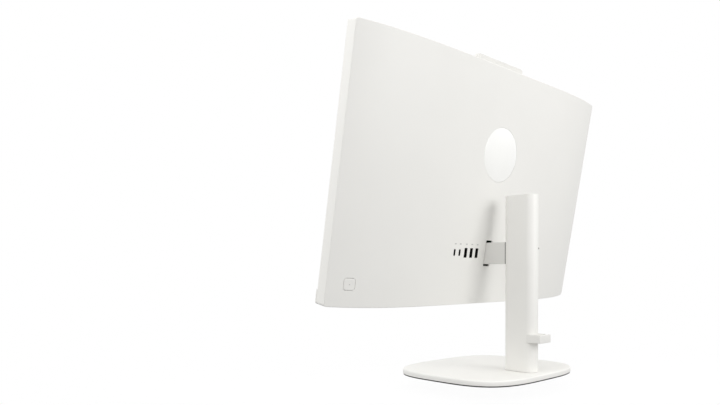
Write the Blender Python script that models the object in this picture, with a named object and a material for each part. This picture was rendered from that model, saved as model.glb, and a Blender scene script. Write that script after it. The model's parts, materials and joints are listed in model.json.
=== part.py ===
"""All-in-one desktop computer: a slim tilting head with its boards and fan, on a column and a base plate.

Metres, +Z up. The screen faces -Y and the origin is the middle of the base's underside.
Head pieces are drawn in the head's own frame: x across, y from the front edge to the rear, z up the screen.
"""
from math import cos, pi, radians, sin, tan

import bmesh
import bpy
from mathutils import Matrix, Vector

# Gaps
FIT_GAP = 0.0003
MOVE_GAP = 0.0005

# Directions
UP = (0, 0, 1)
FORWARD = (0, -1, 0)

# Facets of round shapes
SMALL_SIDES = 12
ROUND_SIDES = 24
FINE_SIDES = 40
CORNER_STEPS = 4
EDGE_STEPS = 3
HALF_ROUND_STEPS = 16
COVER_COLUMNS = 36
BASE_SIDES = 96

# Head shell
HEAD_WIDTH = 0.5408
HEAD_HEIGHT = 0.3316
EDGE_DEPTH = 0.015
BULGE_BOTTOM = 0.0269
BULGE_TOP = 0.0215
BULGE_POWER = 4.66
SHELL_WALL = 0.0022
CORNER_RADIUS = 0.005
REAR_EDGE_RADIUS = 0.0016
POST_RADIUS = 0.004
POST_INSET_X = 0.055
POST_INSET_Z = 0.055
PEG_RADIUS = 0.0015
VENT_WIDTH = 0.003
VENT_LENGTH = 0.009
VENT_PITCH = 0.0125
VENT_SPAN = 0.260
VENT_SETBACK = 0.003

# Tilt hinge
TILT = radians(10.4)
TILT_BACK = radians(20)
TILT_FORWARD = radians(5)
PIVOT_DEPTH = 0.032
PIVOT_HEIGHT = 0.0716
PIN_RADIUS = 0.0035
PIN_PLAY = 0.00015
PIN_END = 0.0015
LUG_THICKNESS = 0.0025
LUG_ROOT = 0.018
LUG_FOOT_MARGIN = 0.0053
LUG_FOOT_THICKNESS = 0.002
WASHER_THICKNESS = 0.0016
NUT_THICKNESS = 0.005
HINGE_SCREW_HEAD_RADIUS = 0.003
HINGE_SCREW_HEAD = 0.002
HINGE_SCREW_RADIUS = 0.0014
HINGE_SCREW_LENGTH = 0.004
HINGE_SCREW_SETBACK = 0.0065
HINGE_SCREW_PITCH = 0.0097

# Arm
ARM_LEVEL = 0.1721
ARM_REACH = 0.0427
ARM_WIDTH = 0.0134
ARM_HEIGHT = 0.0308
SLEEVE_WALL = 0.0024
EYE_RADIUS = 0.0085
EYE_WIDTH = 0.0116
ARM_FLANGE_THICKNESS = 0.004
ARM_FLANGE_HEIGHT = 0.048

# Column and base
COLUMN_WIDTH = 0.022
COLUMN_DEPTH = 0.0494
COLUMN_HEIGHT = 0.243
COLUMN_WALL = 0.0022
COLUMN_BEHIND = 0.0587
CAP_THICKNESS = 0.003
CORE_DEPTH = 0.022
CORE_HEIGHT = 0.205
BASE_WIDTH = 0.2254
BASE_DEPTH = 0.1973
BASE_POWER = 3.5
BASE_THICKNESS = 0.007
BASE_EDGE_RADIUS = 0.0022
MAT_THICKNESS = 0.0012
MAT_INSET = 0.004
BASE_SCREW_HEAD_RADIUS = 0.0045
BASE_SCREW_HEAD = 0.0026
BASE_SCREW_RADIUS = 0.0025
BASE_SCREW_LENGTH = 0.020
BASE_SCREW_SPACING = 0.012
CLIP_LEVEL = 0.0499
CLIP_HEIGHT = 0.0108
CLIP_WALL = 0.0022
CLIP_REACH = 0.014
CLIP_GRIP = 0.008
CLIP_CORNER = 0.0016
CLIP_MOUTH = 0.005
CLIP_PEG_RADIUS = 0.003

# Display
SCREEN_WIDTH = 0.527
SCREEN_HEIGHT = 0.2965
SCREEN_TOP_BORDER = 0.0046
BEZEL_LIP = 0.0008
BEZEL_WALL = 0.0017
GLASS_THICKNESS = 0.0012
BACKLIGHT_THICKNESS = 0.0041
CHIN_HEIGHT = 0.0185
CHIN_PROUD = 0.0022
CHIN_LIP = 0.006

# Chassis and boards
CHASSIS_SHEET = 0.001
CHASSIS_DEPTH = 0.0047
CHASSIS_SIDE_INSET = 0.0154
CHASSIS_BOTTOM = 0.010
CHASSIS_TOP_INSET = 0.0196
BOARD_LEFT = -0.150
BOARD_RIGHT = 0.090
BOARD_BOTTOM = 0.044
BOARD_TOP = 0.190
BOARD_THICKNESS = 0.0016
STANDOFF = 0.0062
STANDOFF_RADIUS = 0.003
STANDOFF_INSET = 0.007
HINGE_NOTCH_WIDTH = 0.039
HINGE_NOTCH_TOP = 0.112

# Sockets
PORT_LEVEL = 0.0732
PORT_WALL = 0.0007
PORT_DEPTH = 0.009
USB_A_FIRST = 0.0261
USB_A_PITCH = 0.01225
USB_A_SIZE = (0.0056, 0.0131)
USB_C_FIRST = 0.0638
USB_C_PITCH = 0.0107
USB_C_SIZE = (0.0032, 0.0090)
NETWORK_PLACE = -0.034
NETWORK_SIZE = (0.0118, 0.0124)
VIDEO_PLACE = -0.058
VIDEO_SIZE = (0.0056, 0.0151)
AUDIO_PLACE = -0.078
AUDIO_SIZE = (0.0046, 0.0046)
POWER_PLACE = -0.131
POWER_SIZE = (0.0074, 0.0074)

# Cooling
FAN_PLACE = (-0.060, 0.250)
FAN_SIZE = 0.078
FAN_DEPTH = 0.0134
FAN_WALL = 0.0012
IMPELLER_RADIUS = 0.031
IMPELLER_HUB = 0.013
IMPELLER_BLADES = 17
IMPELLER_BLADE = 0.0014
IMPELLER_SWEEP = radians(14)
OUTLET_WIDTH = 0.0528
INTAKE_RADIUS = 0.022
SPINDLE_RADIUS = 0.003
SINK_HEIGHT = 0.018
SINK_DEPTH = 0.0117
SINK_FINS = 14
SINK_FIN = 0.0012
SINK_BASE = 0.002
COLD_PLATE_SIZE = 0.040
COLD_PLATE_PLACE = (-0.060, 0.150)
COLD_PLATE_THICKNESS = 0.0036
PIPE_RADIUS = 0.003
PIPE_BEND = 0.012
PIPE_CLEARANCE = 0.007
PIPE_END_INSET = 0.0078

# Small modules on the board: left, bottom, width, height, thickness
MEMORY_SIZE = (0.0676, 0.030, 0.004)
MEMORY_PLACES = ((0.008, 0.116), (0.008, 0.150))
DRIVE_SIZE = (0.080, 0.022, 0.003)
DRIVE_PLACE = (-0.145, 0.096)
WIRELESS_SIZE = (0.030, 0.022, 0.0024)
WIRELESS_PLACE = (-0.142, 0.128)
CELL_RADIUS = 0.010
CELL_THICKNESS = 0.0032
CELL_PLACE = (-0.115, 0.172)

# Speakers
SPEAKER_SIZE = (0.080, 0.018, 0.0135)
SPEAKER_INSET = 0.035

# Power button
BUTTON_INSET = 0.0275
BUTTON_LEVEL = 0.0286
BUTTON_SIZE = (0.0149, 0.0155)
BUTTON_RADIUS = 0.004
BUTTON_CAP = 0.0035
BUTTON_TRAVEL = 0.0008
BUTTON_STEM_RADIUS = 0.0025
BUTTON_BOARD_SIZE = 0.020
SWITCH_SIZE = 0.006
SWITCH_HEIGHT = 0.0025

# Badge plate
BADGE_HEIGHT = 0.2143
BADGE_RADIUS = 0.0382
BADGE_THICKNESS = 0.0008

# Camera bar
CAMERA_WIDTH = 0.106
CAMERA_RISE = 0.0129
CAMERA_THICKNESS = 0.007
CAMERA_AXIS_DROP = 0.008
CAMERA_BARREL_RADIUS = 0.0042
CAMERA_SWING = radians(10)
CAMERA_CORNER = 0.005
CAMERA_PIN_RADIUS = 0.0015
CAMERA_PIN_LENGTH = 0.008
CAMERA_EAR = 0.0016
LENS_RADIUS = 0.004
LENS_THICKNESS = 0.0012

# Levels and places worked out from the sizes above
base_floor = MAT_THICKNESS + FIT_GAP
base_top = base_floor + BASE_THICKNESS
column_foot = base_top + FIT_GAP
column_top = base_top + COLUMN_HEIGHT
column_front = COLUMN_BEHIND - COLUMN_DEPTH / 2
column_rear = COLUMN_BEHIND + COLUMN_DEPTH / 2
pivot = Vector((0, column_front - ARM_REACH, ARM_LEVEL))
bezel_front = FIT_GAP
glass_front = bezel_front + BEZEL_LIP + FIT_GAP
backlight_front = glass_front + GLASS_THICKNESS + FIT_GAP
bezel_rear = backlight_front + BACKLIGHT_THICKNESS
chassis_front = bezel_rear + FIT_GAP
chassis_rear = chassis_front + CHASSIS_DEPTH
chassis_half = HEAD_WIDTH / 2 - CHASSIS_SIDE_INSET
chassis_top = HEAD_HEIGHT - CHASSIS_TOP_INSET
on_chassis = chassis_rear + FIT_GAP
board_front = chassis_rear + STANDOFF + FIT_GAP
board_rear = board_front + BOARD_THICKNESS
on_board = board_rear + FIT_GAP
rim_half = HEAD_WIDTH / 2 - SHELL_WALL - FIT_GAP
rim_top = HEAD_HEIGHT - SHELL_WALL - FIT_GAP
rim_corner = CORNER_RADIUS - SHELL_WALL - FIT_GAP
camera_lean = CAMERA_AXIS_DROP * tan(CAMERA_SWING)
camera_hole_half = CAMERA_THICKNESS / 2 / cos(CAMERA_SWING) + camera_lean + MOVE_GAP
camera_axis = Vector((0, bezel_rear + camera_hole_half, HEAD_HEIGHT - CAMERA_AXIS_DROP))
button_place = (HEAD_WIDTH / 2 - BUTTON_INSET, BUTTON_LEVEL)
fan_axis = Vector((FAN_PLACE[0], on_chassis + FAN_DEPTH / 2, FAN_PLACE[1]))
lug_start = max(ARM_WIDTH, EYE_WIDTH) / 2 + MOVE_GAP
washer_start = lug_start + LUG_THICKNESS + FIT_GAP
nut_start = washer_start + WASHER_THICKNESS + FIT_GAP
pin_half = nut_start + NUT_THICKNESS + PIN_END


def cover_depth(x, z):
    """How far the rear cover's outer face lies behind the front edge."""
    bulge = BULGE_BOTTOM + (BULGE_TOP - BULGE_BOTTOM) * z / HEAD_HEIGHT
    return EDGE_DEPTH + bulge * (1 - abs(2 * x / HEAD_WIDTH) ** BULGE_POWER)


def inner_depth(x, z):
    """How far the rear cover's inner face lies behind the front edge."""
    return cover_depth(x, z) - SHELL_WALL


hinge_radius = inner_depth(0, PIVOT_HEIGHT) - PIVOT_DEPTH - 2 * FIT_GAP


def collection_named(name):
    collection = bpy.data.collections.new(name)
    bpy.context.scene.collection.children.link(collection)
    return collection


def finish(name, colour, roughness, metallic=0.0):
    """A plain material: linear colour, roughness and metallic value."""
    material = bpy.data.materials.new(name)
    material.use_nodes = True
    shader = material.node_tree.nodes["Principled BSDF"]
    shader.inputs["Base Color"].default_value = (*colour, 1)
    shader.inputs["Roughness"].default_value = roughness
    shader.inputs["Metallic"].default_value = metallic
    return material


def add_object(name, shape, collection, parent, origin):
    """An object from a bmesh drawn in its parent's frame, with its own origin where it is asked for."""
    bmesh.ops.translate(shape, vec=-Vector(origin), verts=shape.verts)
    mesh = bpy.data.meshes.new(name)
    shape.to_mesh(mesh)
    shape.free()
    obj = bpy.data.objects.new(name, mesh)
    obj.parent = parent
    obj.location = origin
    collection.objects.link(obj)
    return obj


def add_part(name, shape, material, parent=None, origin=(0, 0, 0), smooth_angle=radians(35)):
    obj = add_object(name, shape, parts, parent, origin)
    obj.data.materials.append(material)
    obj.data.shade_smooth()
    obj.data.set_sharp_from_angle(angle=smooth_angle)
    return obj


def boolean(target, operation, shape):
    """A live Boolean on the target, with a helper shape drawn in the same parent's frame."""
    helper = add_object(target.name + "_" + operation.lower(), shape, cutters, target.parent, (0, 0, 0))
    helper.hide_render = True
    helper.display_type = "WIRE"
    modifier = target.modifiers.new(operation.title(), "BOOLEAN")
    modifier.operation = operation
    modifier.solver = "EXACT"
    modifier.object = helper


def merged(*shapes):
    """Several bmeshes as one."""
    whole = bmesh.new()
    for shape in shapes:
        mesh = bpy.data.meshes.new("merged")
        shape.to_mesh(mesh)
        shape.free()
        whole.from_mesh(mesh)
        bpy.data.meshes.remove(mesh)
    return whole


def box(low, high):
    shape = bmesh.new()
    low = Vector(low)
    high = Vector(high)
    size = Matrix.Diagonal((*(high - low), 1))
    bmesh.ops.create_cube(shape, size=1, matrix=Matrix.Translation((low + high) / 2) @ size)
    return shape


def cylinder(radius, start, end, sides=ROUND_SIDES):
    """A round bar from one point to another."""
    shape = bmesh.new()
    start = Vector(start)
    run = Vector(end) - start
    turn = Vector(UP).rotation_difference(run).to_matrix().to_4x4()
    bmesh.ops.create_cone(
        shape, cap_ends=True, segments=sides, radius1=radius, radius2=radius, depth=run.length,
        matrix=Matrix.Translation(start + run / 2) @ turn)
    return shape


def prism(axis, low, high, *outlines):
    """A flat outline thickened along an axis; an outline inside another one is a hole.

    The outline's two numbers are x, y along Z; x, z along Y; and y, z along X.
    """
    curve = bpy.data.curves.new("outline", "CURVE")
    curve.dimensions = "2D"
    curve.fill_mode = "BOTH"
    curve.extrude = (high - low) / 2
    for outline in outlines:
        spline = curve.splines.new("POLY")
        spline.points.add(len(outline) - 1)
        for point, (first, second) in zip(spline.points, outline):
            point.co = (first, second, 0, 1)
        spline.use_cyclic_u = True
    flat = bpy.data.objects.new("outline", curve)
    cutters.objects.link(flat)
    graph = bpy.context.evaluated_depsgraph_get()
    mesh = bpy.data.meshes.new_from_object(flat.evaluated_get(graph))
    bpy.data.objects.remove(flat)
    bpy.data.curves.remove(curve)
    shape = bmesh.new()
    shape.from_mesh(mesh)
    bpy.data.meshes.remove(mesh)
    bmesh.ops.remove_doubles(shape, verts=shape.verts, dist=1e-6)
    turns = {
        "Z": Matrix.Identity(4),
        "Y": Matrix.Rotation(pi / 2, 4, "X"),
        "X": Matrix(((0, 0, 1, 0), (1, 0, 0, 0), (0, 1, 0, 0), (0, 0, 0, 1))),
    }
    middle = Vector((0, 0, 0))
    middle["XYZ".index(axis)] = (low + high) / 2
    bmesh.ops.transform(shape, matrix=Matrix.Translation(middle) @ turns[axis], verts=shape.verts)
    bmesh.ops.recalc_face_normals(shape, faces=shape.faces)
    return shape


def arc(centre, radius, start, end, steps=CORNER_STEPS):
    """Points along an arc, both ends included."""
    turns = [start + (end - start) * step / steps for step in range(steps + 1)]
    return [(centre[0] + radius * cos(turn), centre[1] + radius * sin(turn)) for turn in turns]


def circle(centre, radius, sides=FINE_SIDES):
    return arc(centre, radius, 0, 2 * pi * (sides - 1) / sides, sides - 1)


def rounded_rectangle(low, high, radius):
    corners = ((high[0], high[1]), (low[0], high[1]), (low[0], low[1]), (high[0], low[1]))
    points = []
    for quarter, (x, y) in enumerate(corners):
        centre = (x - radius if x == high[0] else x + radius, y - radius if y == high[1] else y + radius)
        points += arc(centre, radius, quarter * pi / 2, (quarter + 1) * pi / 2)
    return points


def stadium(centre, width, depth):
    """An outline with two half-round ends, long in its second direction."""
    radius = width / 2
    reach = depth / 2 - radius
    rear = arc((centre[0], centre[1] + reach), radius, 0, pi, HALF_ROUND_STEPS)
    front = arc((centre[0], centre[1] - reach), radius, pi, 2 * pi, HALF_ROUND_STEPS)
    return rear + front


def superellipse(width, depth, power, sides):
    points = []
    for step in range(sides):
        turn = 2 * pi * step / sides
        across = cos(turn)
        along = sin(turn)
        x = width / 2 * (1 if across >= 0 else -1) * abs(across) ** (2 / power)
        y = depth / 2 * (1 if along >= 0 else -1) * abs(along) ** (2 / power)
        points.append((x, y))
    return points


def round_edges(shape, chosen, radius, segments):
    edges = [edge for edge in shape.edges if chosen(edge)]
    bmesh.ops.bevel(shape, geom=edges, offset=radius, segments=segments, profile=0.5, affect="EDGES",
                    clamp_overlap=True)


def follow_cover(outline, low, high):
    """A plate between two offsets from the cover's outer face, inside an outline drawn in x and z."""
    shape = prism("Y", low, high, outline)
    for vertex in shape.verts:
        vertex.co.y += cover_depth(vertex.co.x, vertex.co.z)
    return shape


def turned(profile, start, direction):
    """A screw-like turned shape: (radius, distance) pairs from its head's axis to its tip's axis."""
    shape = bmesh.new()
    line = [shape.verts.new((radius, 0, distance)) for radius, distance in profile]
    for first, second in zip(line, line[1:]):
        shape.edges.new((first, second))
    bmesh.ops.spin(shape, geom=shape.verts[:] + shape.edges[:], cent=(0, 0, 0), axis=UP,
                   angle=2 * pi, steps=ROUND_SIDES, use_merge=True)
    bmesh.ops.remove_doubles(shape, verts=shape.verts, dist=1e-6)
    turn = Vector(UP).rotation_difference(Vector(direction)).to_matrix().to_4x4()
    bmesh.ops.transform(shape, matrix=Matrix.Translation(start) @ turn, verts=shape.verts)
    bmesh.ops.recalc_face_normals(shape, faces=shape.faces)
    return shape


def screw(head_radius, head, radius, length, start, direction):
    """A screw or stepped post whose head starts at a point and whose shank runs on along a direction."""
    profile = ((0, 0), (head_radius, 0), (head_radius, head), (radius, head), (radius, head + length),
               (0, head + length))
    return turned(profile, start, direction)


def head_outline(inset):
    """The head's rounded outline in x and z: along the bottom from the left, then back along the top."""
    corner = CORNER_RADIUS - inset
    straight = HEAD_WIDTH / 2 - CORNER_RADIUS
    left = arc((-straight, CORNER_RADIUS), corner, pi, 3 * pi / 2)
    right = arc((straight, CORNER_RADIUS), corner, 3 * pi / 2, 2 * pi)
    turns = [pi * (step / COVER_COLUMNS - 0.5) for step in range(1, COVER_COLUMNS)]
    bottom = left + [(straight * sin(turn), inset) for turn in turns] + right
    top = [(x, HEAD_HEIGHT - z) for x, z in reversed(bottom)]
    return bottom + top


def pillow(wall, front, rim_radius):
    """The head's closed form, drawn in by a wall, from a front level to the curved and rounded rear face."""
    rings = [[(x, front, z) for x, z in head_outline(wall)]]
    for step in range(EDGE_STEPS + 1):
        turn = pi / 2 * step / EDGE_STEPS
        rise = wall + rim_radius * (1 - sin(turn))
        outline = head_outline(wall + rim_radius * (1 - cos(turn)))
        rings.append([(x, cover_depth(x, z) - rise, z) for x, z in outline])
    shape = bmesh.new()
    rings = [[shape.verts.new(point) for point in ring] for ring in rings]
    count = len(rings[0])
    for lower, upper in zip(rings, rings[1:]):
        for step in range(count):
            after = (step + 1) % count
            shape.faces.new((lower[step], lower[after], upper[after], upper[step]))
    for ring in (rings[0], rings[-1]):
        for step in range(count // 2 - 1):
            shape.faces.new((ring[step], ring[step + 1], ring[-2 - step], ring[-1 - step]))
    bmesh.ops.recalc_face_normals(shape, faces=shape.faces)
    return shape


def vent_row(level):
    """Slots through the top or bottom wall of the head, in a row behind the camera's opening."""
    count = int(VENT_SPAN / VENT_PITCH) + 1
    first = -VENT_PITCH * (count - 1) / 2
    front = camera_axis.y + camera_hole_half + VENT_SETBACK
    slots = []
    for step in range(count):
        x = first + VENT_PITCH * step
        low = (x - VENT_WIDTH / 2, front, level - 2 * SHELL_WALL)
        high = (x + VENT_WIDTH / 2, front + VENT_LENGTH, level + 2 * SHELL_WALL)
        slots.append(box(low, high))
    return slots


def port_box(place, size, grow, low, high):
    """A box round a socket's mouth, between two depths."""
    half_x = size[0] / 2 + grow
    half_z = size[1] / 2 + grow
    return box((place - half_x, low, PORT_LEVEL - half_z), (place + half_x, high, PORT_LEVEL + half_z))


def socket_list():
    sockets = [("usb_a_socket_%d" % (n + 1), USB_A_FIRST + n * USB_A_PITCH, USB_A_SIZE) for n in range(3)]
    sockets += [("usb_c_socket_%d" % (n + 1), USB_C_FIRST + n * USB_C_PITCH, USB_C_SIZE) for n in range(2)]
    sockets.append(("network_socket", NETWORK_PLACE, NETWORK_SIZE))
    sockets.append(("video_socket", VIDEO_PLACE, VIDEO_SIZE))
    sockets.append(("audio_socket", AUDIO_PLACE, AUDIO_SIZE))
    sockets.append(("power_inlet", POWER_PLACE, POWER_SIZE))
    return sockets


def arm_slot():
    """The slot that lets the level arm swing through the cover from the forward to the backward stop."""
    reach = cover_depth(0, PIVOT_HEIGHT) - PIVOT_DEPTH
    half = ARM_HEIGHT / 2
    low = PIVOT_HEIGHT - half / cos(TILT_FORWARD) - reach * tan(TILT_FORWARD) - MOVE_GAP
    high = PIVOT_HEIGHT + half / cos(TILT_BACK) + reach * tan(TILT_BACK) + MOVE_GAP
    side = ARM_WIDTH / 2 + MOVE_GAP
    depth = cover_depth(0, PIVOT_HEIGHT)
    return box((-side, depth - 3 * SHELL_WALL, low), (side, depth + 2 * SHELL_WALL, high))


def post_places():
    x = HEAD_WIDTH / 2 - POST_INSET_X
    return [(side * x, z) for side in (-1, 1) for z in (POST_INSET_Z, HEAD_HEIGHT - POST_INSET_Z)]


def button_outline(grow):
    half_x = BUTTON_SIZE[0] / 2 + grow
    half_z = BUTTON_SIZE[1] / 2 + grow
    x, z = button_place
    return rounded_rectangle((x - half_x, z - half_z), (x + half_x, z + half_z), BUTTON_RADIUS + grow)


def camera_hole():
    """The opening in the top wall, wide enough for the camera bar's swing."""
    side = CAMERA_WIDTH / 2 + MOVE_GAP
    low = (-side, camera_axis.y - camera_hole_half, HEAD_HEIGHT - 2 * SHELL_WALL)
    return box(low, (side, camera_axis.y + camera_hole_half, HEAD_HEIGHT + SHELL_WALL))


def make_rear_cover():
    cover = add_part("rear_cover", pillow(0, 0, REAR_EDGE_RADIUS), shell_white, head_frame)
    boolean(cover, "DIFFERENCE", pillow(SHELL_WALL, -SHELL_WALL, REAR_EDGE_RADIUS))
    posts = []
    tip = chassis_rear - CHASSIS_SHEET - MOVE_GAP
    for x, z in post_places():
        root = inner_depth(x, z) + SHELL_WALL / 2
        start = (x, root, z)
        posts.append(screw(POST_RADIUS, root - on_chassis, PEG_RADIUS, on_chassis - tip, start, FORWARD))
    boolean(cover, "UNION", merged(*posts))
    cuts = [arm_slot(), camera_hole()]
    for _, place, size in socket_list():
        depth = cover_depth(place, PORT_LEVEL)
        cuts.append(port_box(place, size, FIT_GAP, depth - 2 * SHELL_WALL, depth + 2 * SHELL_WALL))
    cuts.append(follow_cover(button_outline(0), -3 * SHELL_WALL, SHELL_WALL))
    badge = circle((0, BADGE_HEIGHT), BADGE_RADIUS)
    cuts.append(follow_cover(badge, -BADGE_THICKNESS - FIT_GAP, SHELL_WALL))
    cuts += vent_row(HEAD_HEIGHT) + vent_row(0)
    boolean(cover, "DIFFERENCE", merged(*cuts))


def make_badge():
    disc = circle((0, BADGE_HEIGHT), BADGE_RADIUS - FIT_GAP)
    add_part("badge_plate", follow_cover(disc, -BADGE_THICKNESS, 0), gloss_white, head_frame)


def make_display():
    bezel_low = CHIN_HEIGHT + FIT_GAP
    screen_top = rim_top - SCREEN_TOP_BORDER
    outline = rounded_rectangle((-rim_half, bezel_low), (rim_half, rim_top), rim_corner)
    frame = add_part("bezel_frame", prism("Y", bezel_front, bezel_rear, outline), black_plastic, head_frame)
    window = box((-SCREEN_WIDTH / 2, -SHELL_WALL, screen_top - SCREEN_HEIGHT),
                 (SCREEN_WIDTH / 2, glass_front + GLASS_THICKNESS, screen_top))
    boolean(frame, "DIFFERENCE", window)
    pocket_half = rim_half - BEZEL_WALL
    pocket_low = bezel_low + BEZEL_WALL
    pocket_high = rim_top - BEZEL_WALL
    pocket = box((-pocket_half, bezel_front + BEZEL_LIP, pocket_low),
                 (pocket_half, bezel_rear + BEZEL_LIP, pocket_high))
    boolean(frame, "DIFFERENCE", pocket)
    half = pocket_half - FIT_GAP
    low = pocket_low + FIT_GAP
    high = pocket_high - FIT_GAP
    glass = box((-half, glass_front, low), (half, glass_front + GLASS_THICKNESS, high))
    add_part("display_glass", glass, dark_glass, head_frame)
    tray = box((-half, backlight_front, low), (half, bezel_rear, high))
    add_part("backlight_tray", tray, grey_plastic, head_frame)


def make_chin():
    half = HEAD_WIDTH / 2
    straight = half - CORNER_RADIUS
    outline = [(half, CHIN_HEIGHT), (-half, CHIN_HEIGHT)]
    outline += arc((-straight, CORNER_RADIUS), CORNER_RADIUS, pi, 3 * pi / 2)
    outline += arc((straight, CORNER_RADIUS), CORNER_RADIUS, 3 * pi / 2, 2 * pi)
    face = prism("Y", -CHIN_PROUD, -FIT_GAP, outline)
    chin = add_part("chin_bar", face, shell_white, head_frame)
    lip = rounded_rectangle((-rim_half, SHELL_WALL + FIT_GAP), (rim_half, CHIN_HEIGHT), rim_corner)
    boolean(chin, "UNION", prism("Y", -CHIN_PROUD / 2, CHIN_LIP, lip))


def hinge_screw_places():
    first = lug_start + LUG_THICKNESS + HINGE_SCREW_SETBACK
    return [first, first + HINGE_SCREW_PITCH]


def make_chassis():
    tray = box((-chassis_half, chassis_front, CHASSIS_BOTTOM), (chassis_half, chassis_rear, chassis_top))
    chassis = add_part("chassis_tray", tray, steel, head_frame)
    half = chassis_half - CHASSIS_SHEET
    pocket = box((-half, chassis_front - CHASSIS_SHEET, CHASSIS_BOTTOM + CHASSIS_SHEET),
                 (half, chassis_rear - CHASSIS_SHEET, chassis_top - CHASSIS_SHEET))
    boolean(chassis, "DIFFERENCE", pocket)
    standoffs = []
    for x in (BOARD_LEFT + STANDOFF_INSET, BOARD_RIGHT - STANDOFF_INSET):
        for z in (BOARD_BOTTOM + STANDOFF_INSET, BOARD_TOP - STANDOFF_INSET):
            start = (x, chassis_rear - CHASSIS_SHEET / 2, z)
            standoffs.append(cylinder(STANDOFF_RADIUS, start, (x, chassis_rear + STANDOFF, z), SMALL_SIDES))
    boolean(chassis, "UNION", merged(*standoffs))
    holes = []
    for x, z in post_places():
        holes.append(cylinder(PEG_RADIUS + FIT_GAP, (x, chassis_front, z), (x, on_chassis, z), SMALL_SIDES))
    for x in hinge_screw_places():
        for side in (-1, 1):
            start = (side * x, chassis_front, PIVOT_HEIGHT)
            end = (side * x, on_chassis, PIVOT_HEIGHT)
            holes.append(cylinder(HINGE_SCREW_RADIUS + FIT_GAP, start, end, SMALL_SIDES))
    boolean(chassis, "DIFFERENCE", merged(*holes))


def make_motherboard():
    notch = HINGE_NOTCH_WIDTH / 2
    outline = [(BOARD_LEFT, BOARD_BOTTOM), (-notch, BOARD_BOTTOM), (-notch, HINGE_NOTCH_TOP),
               (notch, HINGE_NOTCH_TOP), (notch, BOARD_BOTTOM), (BOARD_RIGHT, BOARD_BOTTOM),
               (BOARD_RIGHT, BOARD_TOP), (BOARD_LEFT, BOARD_TOP)]
    add_part("motherboard", prism("Y", board_front, board_rear, outline), circuit_board, head_frame)


def make_module(name, place, size, material):
    low = (place[0], on_board, place[1])
    high = (place[0] + size[0], on_board + size[2], place[1] + size[1])
    add_part(name, box(low, high), material, head_frame)


def make_modules():
    for number, place in enumerate(MEMORY_PLACES, 1):
        make_module("memory_module_%d" % number, place, MEMORY_SIZE, circuit_board)
    make_module("solid_state_drive", DRIVE_PLACE, DRIVE_SIZE, circuit_board)
    make_module("wireless_card", WIRELESS_PLACE, WIRELESS_SIZE, circuit_board)
    x, z = CELL_PLACE
    cell = cylinder(CELL_RADIUS, (x, on_board, z), (x, on_board + CELL_THICKNESS, z))
    add_part("coin_cell", cell, steel, head_frame)


def make_sockets():
    for name, place, size in socket_list():
        mouth = inner_depth(place, PORT_LEVEL + size[1]) - 2 * FIT_GAP
        housing = port_box(place, size, PORT_WALL, on_board, mouth)
        material = black_plastic if name in ("audio_socket", "power_inlet") else nickel
        socket = add_part(name, housing, material, head_frame)
        boolean(socket, "DIFFERENCE", port_box(place, size, 0, mouth - PORT_DEPTH, mouth + SHELL_WALL))


def make_cooling():
    x, z = FAN_PLACE
    half = FAN_SIZE / 2
    rear = on_chassis + FAN_DEPTH
    housing = add_part("fan_housing", box((x - half, on_chassis, z - half), (x + half, rear, z + half)),
                       black_plastic, head_frame)
    swept = IMPELLER_RADIUS + 4 * MOVE_GAP
    chamber = cylinder(swept, (x, on_chassis + FAN_WALL, z), (x, rear - FAN_WALL, z), FINE_SIDES)
    boolean(housing, "DIFFERENCE", chamber)
    outlet = box((x - OUTLET_WIDTH / 2, on_chassis + FAN_WALL, z),
                 (x + OUTLET_WIDTH / 2, rear - FAN_WALL, z + FAN_SIZE))
    boolean(housing, "DIFFERENCE", outlet)
    intake = cylinder(INTAKE_RADIUS, (x, rear - 2 * FAN_WALL, z), (x, rear + FAN_WALL, z), FINE_SIDES)
    boolean(housing, "DIFFERENCE", intake)
    spindle = cylinder(SPINDLE_RADIUS, (x, on_chassis + FAN_WALL / 2, z), (x, rear - 3 * FAN_WALL, z))
    boolean(housing, "UNION", spindle)
    blades = []
    for number in range(IMPELLER_BLADES):
        turn = 2 * pi * number / IMPELLER_BLADES
        root = IMPELLER_BLADE / 2 / IMPELLER_HUB
        tip = IMPELLER_BLADE / 2 / IMPELLER_RADIUS
        end = turn + IMPELLER_SWEEP
        corners = ((IMPELLER_HUB, turn - root), (IMPELLER_RADIUS, end - tip), (IMPELLER_RADIUS, end + tip),
                   (IMPELLER_HUB, turn + root))
        for radius, at in corners:
            blades.append((x + radius * cos(at), z + radius * sin(at)))
    bore = circle((x, z), SPINDLE_RADIUS + 2 * FIT_GAP, ROUND_SIDES)
    wheel = prism("Y", on_chassis + 2 * FAN_WALL, rear - 2 * FAN_WALL, blades, bore)
    add_part("fan_impeller", wheel, black_plastic, head_frame, fan_axis)
    low = z + half + FIT_GAP
    pitch = (FAN_SIZE - SINK_FIN) / (SINK_FINS - 1)
    comb = [(x + half, on_chassis), (x - half, on_chassis)]
    for number in range(SINK_FINS):
        left = x - half + number * pitch
        right = left + SINK_FIN
        comb += [(left, on_chassis + SINK_BASE), (left, on_chassis + SINK_DEPTH),
                 (right, on_chassis + SINK_DEPTH), (right, on_chassis + SINK_BASE)]
    comb = comb[:2] + comb[3:-1]
    add_part("heat_sink", prism("Z", low, low + SINK_HEIGHT, comb), aluminium, head_frame)
    px, pz = COLD_PLATE_PLACE
    side = COLD_PLATE_SIZE / 2
    plate_rear = on_board + COLD_PLATE_THICKNESS
    plate = box((px - side, on_board, pz - side), (px + side, plate_rear, pz + side))
    add_part("cold_plate", plate, copper, head_frame)
    pipe_level = max(plate_rear, on_chassis + SINK_DEPTH) + FIT_GAP + PIPE_RADIUS
    make_heat_pipe((px, pz), (x - half + PIPE_END_INSET, low + SINK_HEIGHT / 2), pipe_level)


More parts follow.
